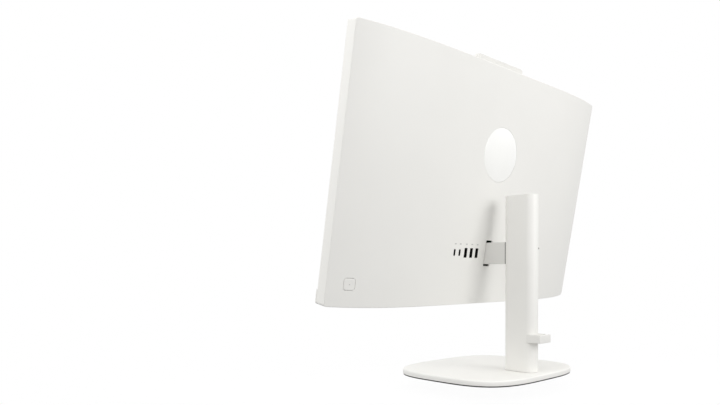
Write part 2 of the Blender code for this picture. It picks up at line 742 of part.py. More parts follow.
def make_heat_pipe(start, end, level):
    """A pipe off the cold plate, up beside the fan and back along the heat sink."""
    x = FAN_PLACE[0] + FAN_SIZE / 2 + PIPE_CLEARANCE + PIPE_RADIUS
    lower = arc((x - PIPE_BEND, start[1] + PIPE_BEND), PIPE_BEND, -pi / 2, 0)
    upper = arc((x - PIPE_BEND, end[1] - PIPE_BEND), PIPE_BEND, 0, pi / 2)
    route = [start] + lower + upper + [end]
    curve = bpy.data.curves.new("heat_pipe", "CURVE")
    curve.dimensions = "3D"
    curve.bevel_depth = PIPE_RADIUS
    curve.bevel_resolution = 2
    curve.use_fill_caps = True
    spline = curve.splines.new("POLY")
    spline.points.add(len(route) - 1)
    for point, (across, up) in zip(spline.points, route):
        point.co = (across, level, up, 1)
    curve.materials.append(copper)
    pipe = bpy.data.objects.new("heat_pipe", curve)
    pipe.parent = head_frame
    parts.objects.link(pipe)


def make_speakers():
    width, height, depth = SPEAKER_SIZE
    for side, name in ((-1, "speaker_left"), (1, "speaker_right")):
        middle = side * (chassis_half - SPEAKER_INSET - width / 2)
        low = (middle - width / 2, on_chassis, CHASSIS_BOTTOM + CHASSIS_SHEET)
        high = (middle + width / 2, on_chassis + depth, CHASSIS_BOTTOM + CHASSIS_SHEET + height)
        add_part(name, box(low, high), black_plastic, head_frame)


def make_power_button():
    x, z = button_place
    switch_top = on_chassis + BOARD_THICKNESS + SWITCH_HEIGHT
    cap = follow_cover(button_outline(-MOVE_GAP), -BUTTON_CAP, 0)
    origin = Vector((x, cover_depth(x, z), z))
    button = add_part("power_button", cap, shell_white, head_frame, origin)
    stem = cylinder(BUTTON_STEM_RADIUS, (x, switch_top + BUTTON_TRAVEL + FIT_GAP, z),
                    (x, cover_depth(x, z) - BUTTON_CAP / 2, z))
    boolean(button, "UNION", stem)
    half = BUTTON_BOARD_SIZE / 2
    low = (x - half, on_chassis, z - half)
    board = add_part("button_board", box(low, (x + half, on_chassis + BOARD_THICKNESS, z + half)),
                     circuit_board, head_frame)
    switch = box((x - SWITCH_SIZE / 2, on_chassis + BOARD_THICKNESS / 2, z - SWITCH_SIZE / 2),
                 (x + SWITCH_SIZE / 2, switch_top, z + SWITCH_SIZE / 2))
    boolean(board, "UNION", switch)


def make_camera():
    _, y, z = camera_axis
    half = CAMERA_WIDTH / 2
    top = HEAD_HEIGHT + CAMERA_RISE
    blade_outline = [(-half, z), (half, z)]
    blade_outline += arc((half - CAMERA_CORNER, top - CAMERA_CORNER), CAMERA_CORNER, 0, pi / 2)
    blade_outline += arc((-half + CAMERA_CORNER, top - CAMERA_CORNER), CAMERA_CORNER, pi / 2, pi)
    front = y - CAMERA_THICKNESS / 2
    blade = prism("Y", front, y + CAMERA_THICKNESS / 2, blade_outline)
    bar = add_part("camera_bar", blade, shell_white, head_frame, camera_axis)
    boolean(bar, "UNION", cylinder(CAMERA_BARREL_RADIUS, (-half, y, z), (half, y, z)))
    lens_height = HEAD_HEIGHT + CAMERA_RISE / 2
    lens_rear = (0, front + LENS_THICKNESS, lens_height)
    recess = cylinder(LENS_RADIUS + FIT_GAP, (0, front - LENS_THICKNESS, lens_height),
                      (0, front + LENS_THICKNESS + FIT_GAP, lens_height))
    holes = [recess]
    pins = []
    ear_end = half + MOVE_GAP + CAMERA_EAR
    for side, name in ((-1, "camera_pin_left"), (1, "camera_pin_right")):
        outer = (side * (ear_end + FIT_GAP), y, z)
        inner = (outer[0] - side * CAMERA_PIN_LENGTH, y, z)
        hole_end = (inner[0] - side * FIT_GAP, y, z)
        holes.append(cylinder(CAMERA_PIN_RADIUS + PIN_PLAY, hole_end, outer))
        pins.append((name, cylinder(CAMERA_PIN_RADIUS, inner, outer)))
    boolean(bar, "DIFFERENCE", merged(*holes))
    for name, pin in pins:
        add_part(name, pin, steel, head_frame, camera_axis)
    lens = cylinder(LENS_RADIUS, (0, front, lens_height), lens_rear)
    add_part("camera_lens", lens, dark_glass, head_frame, camera_axis)
    make_camera_bracket(ear_end)


def make_camera_bracket(ear_end):
    _, y, z = camera_axis
    swing = CAMERA_BARREL_RADIUS + 2 * MOVE_GAP
    back = y + swing + CAMERA_THICKNESS / 2
    top = rim_top
    low = z - swing
    strip = box((-ear_end, back, low), (ear_end, back + CAMERA_EAR, top))
    bracket = add_part("camera_bracket", strip, steel, head_frame)
    ears = []
    for side in (-1, 1):
        left, right = sorted((side * (ear_end - CAMERA_EAR), side * ear_end))
        ears.append(box((left, y - swing + MOVE_GAP, low), (right, back + CAMERA_EAR / 2, top)))
    boolean(bracket, "UNION", merged(*ears))
    start = (-ear_end - CAMERA_EAR, y, z)
    bore = cylinder(CAMERA_PIN_RADIUS + PIN_PLAY, start, (ear_end + CAMERA_EAR, y, z))
    boolean(bracket, "DIFFERENCE", bore)


def make_hinge_in_head():
    """Two lugs on the chassis, with their screws, that turn on the arm's pin."""
    root = LUG_ROOT / 2
    ear = [(on_chassis, PIVOT_HEIGHT - root)]
    ear += arc((PIVOT_DEPTH, PIVOT_HEIGHT), hinge_radius, -pi / 2, pi / 2, SMALL_SIDES)
    ear.append((on_chassis, PIVOT_HEIGHT + root))
    foot_rear = on_chassis + LUG_FOOT_THICKNESS
    for side, word in ((-1, "left"), (1, "right")):
        ends = sorted((side * lug_start, side * (lug_start + LUG_THICKNESS)))
        lug = add_part("hinge_lug_" + word, prism("X", *ends, ear), steel, head_frame)
        foot_end = hinge_screw_places()[-1] + LUG_FOOT_MARGIN
        span = sorted((side * (lug_start + LUG_THICKNESS / 2), side * foot_end))
        foot = box((span[0], on_chassis, PIVOT_HEIGHT - root), (span[1], foot_rear, PIVOT_HEIGHT + root))
        boolean(lug, "UNION", foot)
        middle = (0, PIVOT_DEPTH, PIVOT_HEIGHT)
        reach = (side * (pin_half + LUG_THICKNESS), PIVOT_DEPTH, PIVOT_HEIGHT)
        holes = [cylinder(PIN_RADIUS + PIN_PLAY, middle, reach, FINE_SIDES)]
        for number, x in enumerate(hinge_screw_places(), 1):
            place = Vector((side * x, foot_rear + FIT_GAP + HINGE_SCREW_HEAD, PIVOT_HEIGHT))
            tip = (place.x, chassis_front, place.z)
            holes.append(cylinder(HINGE_SCREW_RADIUS + FIT_GAP, tip, place, SMALL_SIDES))
            shape = screw(HINGE_SCREW_HEAD_RADIUS, HINGE_SCREW_HEAD, HINGE_SCREW_RADIUS, HINGE_SCREW_LENGTH,
                          place, FORWARD)
            add_part("hinge_screw_%s_%d" % (word, number), shape, steel, head_frame)
        boolean(lug, "DIFFERENCE", merged(*holes))


def make_hinge_on_arm():
    """The pin through the arm's eye, with a friction washer and a nut at each end."""
    _, y, z = pivot
    pin = cylinder(PIN_RADIUS, (-pin_half, y, z), (pin_half, y, z), FINE_SIDES)
    add_part("hinge_pin", pin, steel, None, pivot)
    for side, word in ((-1, "left"), (1, "right")):
        bore = circle((y, z), PIN_RADIUS + PIN_PLAY, ROUND_SIDES)
        ends = sorted((side * washer_start, side * (washer_start + WASHER_THICKNESS)))
        washer = prism("X", *ends, circle((y, z), hinge_radius, ROUND_SIDES), bore)
        add_part("friction_washer_" + word, washer, steel)
        ends = sorted((side * nut_start, side * (nut_start + NUT_THICKNESS)))
        nut = prism("X", *ends, circle((y, z), hinge_radius, 6), bore)
        add_part("hinge_nut_" + word, nut, steel)


def make_arm():
    _, y, z = pivot
    sleeve_half = ARM_HEIGHT / 2
    blade_half = sleeve_half - SLEEVE_WALL - FIT_GAP
    blade_side = ARM_WIDTH / 2 - SLEEVE_WALL - FIT_GAP
    core_front = COLUMN_BEHIND - CORE_DEPTH / 2
    blade_end = core_front - FIT_GAP
    flange_front = blade_end - ARM_FLANGE_THICKNESS
    sleeve_end = flange_front - FIT_GAP
    sleeve_start = y + SHELL_WALL
    blade = box((-blade_side, sleeve_start, z - blade_half), (blade_side, blade_end, z + blade_half))
    arm = add_part("hinge_arm", blade, steel)
    half_eye = EYE_WIDTH / 2
    flange_side = COLUMN_WIDTH / 2 - COLUMN_WALL - MOVE_GAP
    boolean(arm, "UNION", cylinder(EYE_RADIUS, (-half_eye, y, z), (half_eye, y, z), FINE_SIDES))
    flange = box((-flange_side, flange_front, z - ARM_FLANGE_HEIGHT / 2),
                 (flange_side, blade_end, z + ARM_FLANGE_HEIGHT / 2))
    boolean(arm, "UNION", flange)
    pin_hole = cylinder(PIN_RADIUS + PIN_PLAY, (-pin_half, y, z), (pin_half, y, z), FINE_SIDES)
    boolean(arm, "DIFFERENCE", pin_hole)
    shell_start = y + EYE_RADIUS + FIT_GAP
    sleeve_side = ARM_WIDTH / 2
    outer = rounded_rectangle((-sleeve_side, z - sleeve_half), (sleeve_side, z + sleeve_half),
                              SLEEVE_WALL / 2)
    hollow_side = sleeve_side - SLEEVE_WALL
    low = z - sleeve_half + SLEEVE_WALL
    high = z + sleeve_half - SLEEVE_WALL
    inner = [(-hollow_side, low), (hollow_side, low), (hollow_side, high), (-hollow_side, high)]
    add_part("arm_sleeve", prism("Y", shell_start, sleeve_end, outer, inner), shell_grey)


def make_column():
    outer = stadium((0, COLUMN_BEHIND), COLUMN_WIDTH, COLUMN_DEPTH)
    hollow_width = COLUMN_WIDTH - 2 * COLUMN_WALL
    hollow_depth = COLUMN_DEPTH - 2 * COLUMN_WALL
    inner = stadium((0, COLUMN_BEHIND), hollow_width, hollow_depth)
    column = add_part("stand_column", prism("Z", column_foot, column_top, outer, inner), shell_white)
    side = ARM_WIDTH / 2 + FIT_GAP
    half = ARM_HEIGHT / 2 + FIT_GAP
    arm_hole = box((-side, column_front - COLUMN_WALL, ARM_LEVEL - half),
                   (side, COLUMN_BEHIND, ARM_LEVEL + half))
    clip_middle = CLIP_LEVEL + CLIP_HEIGHT / 2
    peg_hole = cylinder(CLIP_PEG_RADIUS + FIT_GAP, (0, column_rear - 2 * COLUMN_WALL, clip_middle),
                        (0, column_rear + COLUMN_WALL, clip_middle))
    boolean(column, "DIFFERENCE", merged(arm_hole, peg_hole))
    plug = stadium((0, COLUMN_BEHIND), hollow_width - 2 * FIT_GAP, hollow_depth - 2 * FIT_GAP)
    add_part("column_cap", prism("Z", column_top - CAP_THICKNESS, column_top, plug), shell_white)
    side = hollow_width / 2 - MOVE_GAP
    core = box((-side, COLUMN_BEHIND - CORE_DEPTH / 2, column_foot),
               (side, COLUMN_BEHIND + CORE_DEPTH / 2, column_foot + CORE_HEIGHT))
    bar = add_part("column_core", core, steel)
    holes = []
    hole_top = base_floor + BASE_SCREW_HEAD + BASE_SCREW_LENGTH
    for y in base_screw_places():
        holes.append(cylinder(BASE_SCREW_RADIUS + FIT_GAP, (0, y, base_floor), (0, y, hole_top)))
    boolean(bar, "DIFFERENCE", merged(*holes))


def base_screw_places():
    return [COLUMN_BEHIND + side * BASE_SCREW_SPACING / 2 for side in (-1, 1)]


def is_base_rim(edge):
    upward = [face.normal.z > 0.5 for face in edge.link_faces]
    downward = [face.normal.z < -0.5 for face in edge.link_faces]
    return any(upward) and not all(upward) and not any(downward)


def make_base():
    outline = superellipse(BASE_WIDTH, BASE_DEPTH, BASE_POWER, BASE_SIDES)
    slab = prism("Z", base_floor, base_top, outline)
    round_edges(slab, is_base_rim, BASE_EDGE_RADIUS, EDGE_STEPS)
    plate = add_part("base_plate", slab, shell_white)
    holes = []
    for number, y in enumerate(base_screw_places(), 1):
        holes.append(screw(BASE_SCREW_HEAD_RADIUS + FIT_GAP, BASE_SCREW_HEAD + 2 * FIT_GAP,
                           BASE_SCREW_RADIUS + FIT_GAP, BASE_THICKNESS, (0, y, base_floor - FIT_GAP), UP))
        bolt = screw(BASE_SCREW_HEAD_RADIUS, BASE_SCREW_HEAD, BASE_SCREW_RADIUS,
                     BASE_SCREW_LENGTH - FIT_GAP, (0, y, base_floor), UP)
        add_part("base_screw_%d" % number, bolt, steel)
    boolean(plate, "DIFFERENCE", merged(*holes))
    mat = superellipse(BASE_WIDTH - 2 * MAT_INSET, BASE_DEPTH - 2 * MAT_INSET, BASE_POWER, BASE_SIDES)
    add_part("base_mat", prism("Z", 0, MAT_THICKNESS, mat), rubber)


def make_cable_clip():
    half = COLUMN_WIDTH / 2 + FIT_GAP + CLIP_WALL
    rear = column_rear + CLIP_REACH
    front = column_rear - CLIP_GRIP
    high = CLIP_LEVEL + CLIP_HEIGHT
    outline = [(-half, front), (half, front)]
    outline += arc((half - CLIP_CORNER, rear - CLIP_CORNER), CLIP_CORNER, 0, pi / 2)
    outline += arc((-half + CLIP_CORNER, rear - CLIP_CORNER), CLIP_CORNER, pi / 2, pi)
    block = prism("Z", CLIP_LEVEL, high, outline)
    clip = add_part("cable_clip", block, shell_white)
    below = CLIP_LEVEL - CLIP_WALL
    above = high + CLIP_WALL
    grown = stadium((0, COLUMN_BEHIND), COLUMN_WIDTH + 2 * FIT_GAP, COLUMN_DEPTH + 2 * FIT_GAP)
    loop_front = column_rear + FIT_GAP + CLIP_WALL
    loop_rear = rear - CLIP_WALL
    loop_half = half - CLIP_WALL
    loop = rounded_rectangle((-loop_half, loop_front), (loop_half, loop_rear), CLIP_WALL)
    mouth_rear = loop_rear - CLIP_WALL / 2
    mouth = box((-half - CLIP_WALL, mouth_rear - CLIP_MOUTH, below),
                (CLIP_WALL - loop_half, mouth_rear, above))
    boolean(clip, "DIFFERENCE", prism("Z", below, above, grown))
    boolean(clip, "DIFFERENCE", prism("Z", below, above, loop))
    boolean(clip, "DIFFERENCE", mouth)
    middle = (CLIP_LEVEL + high) / 2
    tip = (0, column_rear - COLUMN_WALL, middle)
    peg = cylinder(CLIP_PEG_RADIUS, tip, (0, loop_front - CLIP_WALL / 2, middle))
    boolean(clip, "UNION", peg)


for old in list(bpy.data.objects):
    bpy.data.objects.remove(old, do_unlink=True)
parts = collection_named("all_in_one_pc")
cutters = collection_named("cutters")

shell_white = finish("shell_white_abs", (0.76, 0.75, 0.72), 0.45)
shell_grey = finish("shell_grey_abs", (0.62, 0.61, 0.58), 0.5)
gloss_white = finish("gloss_white_abs", (0.88, 0.87, 0.85), 0.2)
black_plastic = finish("black_abs", (0.012, 0.012, 0.013), 0.5)
grey_plastic = finish("grey_polycarbonate", (0.35, 0.35, 0.35), 0.5)
dark_glass = finish("dark_glass", (0.006, 0.006, 0.007), 0.12)
rubber = finish("grey_rubber", (0.06, 0.06, 0.06), 0.9)
steel = finish("zinc_plated_steel", (0.55, 0.55, 0.54), 0.35, 1.0)
nickel = finish("nickel_plated_steel", (0.62, 0.61, 0.58), 0.3, 1.0)
aluminium = finish("extruded_aluminium", (0.72, 0.72, 0.72), 0.4, 1.0)
copper = finish("copper", (0.75, 0.33, 0.19), 0.35, 1.0)
circuit_board = finish("solder_masked_board", (0.01, 0.05, 0.025), 0.4)

tilt_axis = bpy.data.objects.new("tilt_axis", None)
tilt_axis.location = pivot
tilt_axis.rotation_euler.x = -TILT
parts.objects.link(tilt_axis)
head_frame = bpy.data.objects.new("head_frame", None)
head_frame.parent = tilt_axis
head_frame.location = (0, -PIVOT_DEPTH, -PIVOT_HEIGHT)
parts.objects.link(head_frame)

make_base()
make_column()
make_cable_clip()
make_arm()
make_hinge_on_arm()
make_hinge_in_head()
make_rear_cover()
make_badge()
make_display()
make_chin()
make_chassis()
make_motherboard()
make_modules()
make_sockets()
make_cooling()
make_speakers()
make_power_button()
make_camera()
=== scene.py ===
"""Looks of the all-in-one computer: smooth mouldings, sockets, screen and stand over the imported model.

Metres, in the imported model's frame. Head pieces are drawn in the head's own frame, with x across, y from the
front edge to the rear and z up the screen, and are then leaned back with the head.
"""
import json
from math import cos, pi, radians, sin, tan

import bmesh
import bpy
from mathutils import Matrix, Vector


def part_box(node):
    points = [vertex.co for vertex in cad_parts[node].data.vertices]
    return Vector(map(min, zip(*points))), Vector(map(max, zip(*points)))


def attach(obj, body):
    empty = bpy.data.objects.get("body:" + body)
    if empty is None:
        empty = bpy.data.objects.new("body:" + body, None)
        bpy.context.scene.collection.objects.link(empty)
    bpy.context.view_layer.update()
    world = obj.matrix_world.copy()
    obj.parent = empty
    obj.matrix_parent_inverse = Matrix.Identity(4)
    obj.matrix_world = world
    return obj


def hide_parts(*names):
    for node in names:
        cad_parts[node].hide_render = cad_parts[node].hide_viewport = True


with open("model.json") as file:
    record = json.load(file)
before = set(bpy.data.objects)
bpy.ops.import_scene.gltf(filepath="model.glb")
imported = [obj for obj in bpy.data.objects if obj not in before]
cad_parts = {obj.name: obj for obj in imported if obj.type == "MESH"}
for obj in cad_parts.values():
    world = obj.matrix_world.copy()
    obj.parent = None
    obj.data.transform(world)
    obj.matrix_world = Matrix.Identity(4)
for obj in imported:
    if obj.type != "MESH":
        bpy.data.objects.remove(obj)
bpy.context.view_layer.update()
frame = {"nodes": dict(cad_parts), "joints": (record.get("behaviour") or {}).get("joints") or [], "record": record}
nodes = frame["nodes"]

# Head shell
HEAD_WIDTH = 0.5408
HEAD_HEIGHT = 0.3316
EDGE_DEPTH = 0.015
BULGE_BOTTOM = 0.0269
BULGE_TOP = 0.0215
BULGE_POWER = 4.66
SHELL_WALL = 0.0022
CORNER_RADIUS = 0.0035
REAR_EDGE_RADIUS = 0.001
FRONT_EDGE_RADIUS = 0.0004
FACE_TOLERANCE = 0.00004

# Lean of the head about the tilt pin
TILT = radians(10.4)
PIVOT_DEPTH = 0.032
PIVOT_HEIGHT = 0.0716
ARM_SLOT_HALF_WIDTH = 0.0071
ARM_SLOT_LOW = 0.0548
ARM_SLOT_HIGH = 0.0921
ARM_SLOT_CORNER = 0.0008

# Vents
VENT_WIDTH = 0.003
VENT_LENGTH = 0.009
VENT_PITCH = 0.0125
VENT_COUNT = 21
VENT_FRONT = 0.0209

# Sockets: place across, mouth width and mouth height
PORT_LEVEL = 0.0732
PORT_GAP = 0.0003
PORT_CHAMFER = 0.0003
PORT_DEPTH = 0.009
USB_A_PLACES = (0.0261, 0.03835, 0.0506)
USB_A_SIZE = (0.0056, 0.0131)
USB_A_CORNER = 0.0006
USB_C_PLACES = (0.0638, 0.0745)
USB_C_SIZE = (0.0032, 0.0090)
USB_C_CORNER = 0.0019
NETWORK_PLACE = -0.034
NETWORK_SIZE = (0.0118, 0.0124)
NETWORK_CORNER = 0.0006
VIDEO_PLACE = -0.058
VIDEO_SIZE = (0.0056, 0.0151)
VIDEO_CORNER = 0.0012
AUDIO_PLACE = -0.078
AUDIO_RADIUS = 0.0026
POWER_PLACE = -0.131
POWER_RADIUS = 0.0040
MARK_LEVEL = 0.0853
MARK_SIZE = (0.0042, 0.0018)
POWER_MARK_PLACE = (-0.1338, 0.0836)
POWER_MARK_RADIUS = 0.0013

# Button, badge and camera
BUTTON_PLACE = (0.2429, 0.0286)
BUTTON_SIZE = (0.0149, 0.0155)
BUTTON_RADIUS = 0.004
BUTTON_GAP = 0.0004
BUTTON_CAP = 0.0035
BUTTON_LIGHT = 0.0007
BADGE_HEIGHT = 0.2143
BADGE_RADIUS = 0.0382
BADGE_DEPTH = 0.0011
BADGE_GAP = 0.0002
BADGE_SIDES = 160
CAMERA_WIDTH = 0.106
CAMERA_HOLE = (0.0535, 0.007, 0.018)
CAMERA_DEPTH = (0.00896, 0.01596)
CAMERA_AXIS = (0.01246, 0.3236)
CAMERA_RISE = 0.0129
CAMERA_CORNER = 0.005
CAMERA_EDGE = 0.0012
CAMERA_BARREL = 0.0042
LENS_RADIUS = 0.004
MIC_PLACE = 0.018
MIC_RADIUS = 0.0004

# Rounded rims of what sits in the cover: inset from the outline and offset from the cover's face
BADGE_RIM = ((0, -0.0008), (0, -0.0003), (0.0001, -0.0001), (0.0003, 0))
BUTTON_RIM = ((0, -BUTTON_CAP), (0, -0.0004), (0.00012, -0.00012), (0.0004, 0), (0.0022, -0.00012))
BUTTON_LIGHT_RIM = ((0, -0.0006), (0, -0.00008), (BUTTON_LIGHT / 2, -0.00002))

# Camera lens: its seat as gap and depth, its face as share of the radius and depth
LENS_SEAT = ((0.0003, 0.0015), (0.0003, 0.0003), (0.0009, -0.0003))
LENS_FACE = ((1, 0.0012), (1, 0.0003), (0.95, 0.0001), (0.62, 0.0001), (0.58, 0.0005), (0.4, 0.0005),
             (0.3, 0.0002), (0.1, 0.0001))

# Tongues: thickness and height, offset across, count of contacts and their pitch
USB_A_TONGUE = ((0.0018, 0.0110), -0.0011, 4, 0.0023)
USB_C_TONGUE = ((0.0007, 0.0066), 0, 6, 0.0009)
VIDEO_TONGUE = ((0.0014, 0.0118), -0.0004, 10, 0.0010)
NETWORK_TONGUE = ((0.0030, 0.0100), -0.0036, 8, 0.00102)
TONGUE_EDGE = 0.0001

# Insides of the sockets
TONGUE_SETBACK = 0.002
SHADE_LINING_WALL = 0.00025
CONTACT_PROUD = 0.0001
INK_THICKNESS = 0.00002
INK_LEVELS = ((0, -INK_THICKNESS), (0, INK_THICKNESS))
AUDIO_BORE = 0.00178
POWER_BORE = 0.0029
POWER_PIN = 0.0006
PIN_ROUNDING = 0.6

# Chin, bezel and screen
CHIN_HEIGHT = 0.0185
CHIN_PROUD = 0.0022
CHIN_LIP = 0.006
CHIN_EDGE = 0.0008
RIM_HALF = 0.2679
RIM_TOP = 0.3291
RIM_CORNER = 0.0025
BEZEL_FRONT = 0.0003
BEZEL_REAR = 0.007
BEZEL_LIP = 0.0008
BEZEL_WALL = 0.0017
BEZEL_EDGE = 0.0003
SCREEN_SIZE = (0.527, 0.2965)
SCREEN_TOP_BORDER = 0.0046
WINDOW_CORNER = 0.0004

# Stand
COLUMN_WALL = 0.0022
COLUMN_EDGE = 0.0005
SLEEVE_WALL = 0.0024
SLEEVE_EDGE = 0.0012
# Dark ring round the arm at the column's face: painted shade of the gap there
GAP_SHADE_FRONT = 0.0353
GAP_SHADE_WIDTH = 0.001
GAP_SHADE_PROUD = 0.00015
BASE_POWER = 3.5
BASE_EDGE = 0.0022
BASE_FOOT_EDGE = 0.0006
CLIP_WALL = 0.0022
CLIP_MOUTH = 0.005
CLIP_EDGE = 0.0006
CLIP_CORNER = 0.0016
CLIP_GRIP_FRONT = 0.0754

# Fineness of round shapes, and the least straight run between two round corners
ROUND_STEPS = 12
EDGE_STEPS = 5
SLIGHT_STEPS = 4
CORNER_STEPS = 6
VENT_STEPS = 8
COVER_COLUMNS = 96
PORT_SIDES = 48
SMALL_SIDES = 24
MIC_SIDES = 16
LEAST_STRAIGHT = 0.00001

# Shading: edges over these angles stay crisp, and a colour drifts between these levels of a soft noise
COVER_CREASE = radians(24)
PIECE_CREASE = radians(32)
DRIFT_STOPS = (0.35, 0.65)
DRIFT_DETAIL = 2.0

# Studio: the fill brightens with height, and the floor clears with distance
FILL_HEIGHTS = (-0.4, 0.6)
FILL_STRENGTHS = (0.34, 0.89)
FLOOR_RADIUS = 3.0
FLOOR_THICKNESS = 0.02
FLOOR_REACH = (0.12, 0.6)
FLOOR_CLEARNESS = (0.97, 1.0)

# Soft lamps: name, place, aim, size and watts
LAMPS = (
    ("key_softbox", (-0.1, 1.35, 0.62), (0, 0, 0.25), (0.8, 0.8), 4.4),
    ("near_softbox", (-0.1, 0.66, 0.48), (0, 0.02, 0.36), (0.35, 0.35), 1.1),
    ("front_softbox", (1.4, -0.9, 1.2), (0, 0, 0.25), (1.0, 1.0), 7.2),
    ("side_softbox", (1.5, 0.15, 1.0), (0, 0, 0.25), (1.0, 1.0), 6.1),
)

# View
VIEW_PLACE = (0.7430, 0.5583, 0.1496)
VIEW_WAY = (-0.7231, -0.6905, -0.0134)
VIEW_SHIFT = (-0.0724, 0.1043)
SENSOR_WIDTH = 36
LENS_LENGTH = 31.84

tilt = next(joint for joint in frame["joints"] if joint["name"] == "head_tilt")
LEAN = (Matrix.Translation(tilt["pos_m"]) @ Matrix.Rotation(-TILT, 4, "X")
        @ Matrix.Translation((0, -PIVOT_DEPTH, -PIVOT_HEIGHT)))
UPRIGHT = Matrix.Identity(4)


def linear(hex_colour):
    """An sRGB hex colour as linear red, green, blue and alpha."""
    shares = [int(hex_colour[place:place + 2], 16) / 255 for place in (0, 2, 4)]
    return (*[s / 12.92 if s <= 0.04045 else ((s + 0.055) / 1.055) ** 2.4 for s in shares], 1)


def add_node(tree, kind, values=None, links=None, **settings):
    """A node with its settings, the values of its inputs and what its inputs are joined to."""
    added = tree.nodes.new(kind)
    for name, value in settings.items():
        setattr(added, name, value)
    for socket, value in (values or {}).items():
        added.inputs[socket].default_value = value
    for socket, source in (links or {}).items():
        tree.links.new(source, added.inputs[socket])
    return added


def material(name, roughness, metallic=0.0, ior=1.5, **more):
    """A material with a Principled shader whose even values are set on its own sockets."""
    made = bpy.data.materials.new(name)
    made.use_nodes = True
    shader = made.node_tree.nodes["Principled BSDF"]
    shader.inputs["Roughness"].default_value = roughness
    shader.inputs["Metallic"].default_value = metallic
    shader.inputs["IOR"].default_value = ior
    for socket, value in more.items():
        shader.inputs[socket.replace("_", " ")].default_value = value
    return made, made.node_tree, shader


def grain(tree, shader, colours, grain_mm, bump_mm, patch_mm=60.0, detail=2.0):
    """Colour that drifts gently from patch to patch, and a fine surface grain as bump."""
    place = add_node(tree, "ShaderNodeTexCoord").outputs["Object"]
    drift = add_node(tree, "ShaderNodeTexNoise", {"Scale": 1000 / patch_mm, "Detail": DRIFT_DETAIL},
                     {"Vector": place})
    ramp = add_node(tree, "ShaderNodeValToRGB", links={"Fac": drift.outputs["Fac"]})
    for stop, position, colour in zip(ramp.color_ramp.elements, DRIFT_STOPS, colours):
        stop.position = position
        stop.color = linear(colour)
    tree.links.new(ramp.outputs["Color"], shader.inputs["Base Color"])
    pits = add_node(tree, "ShaderNodeTexNoise", {"Scale": 1000 / grain_mm, "Detail": detail},
                    {"Vector": place})
    bump = add_node(tree, "ShaderNodeBump", {"Strength": 1.0, "Distance": bump_mm / 1000},
                    {"Height": pits.outputs["Fac"]})
    tree.links.new(bump.outputs["Normal"], shader.inputs["Normal"])


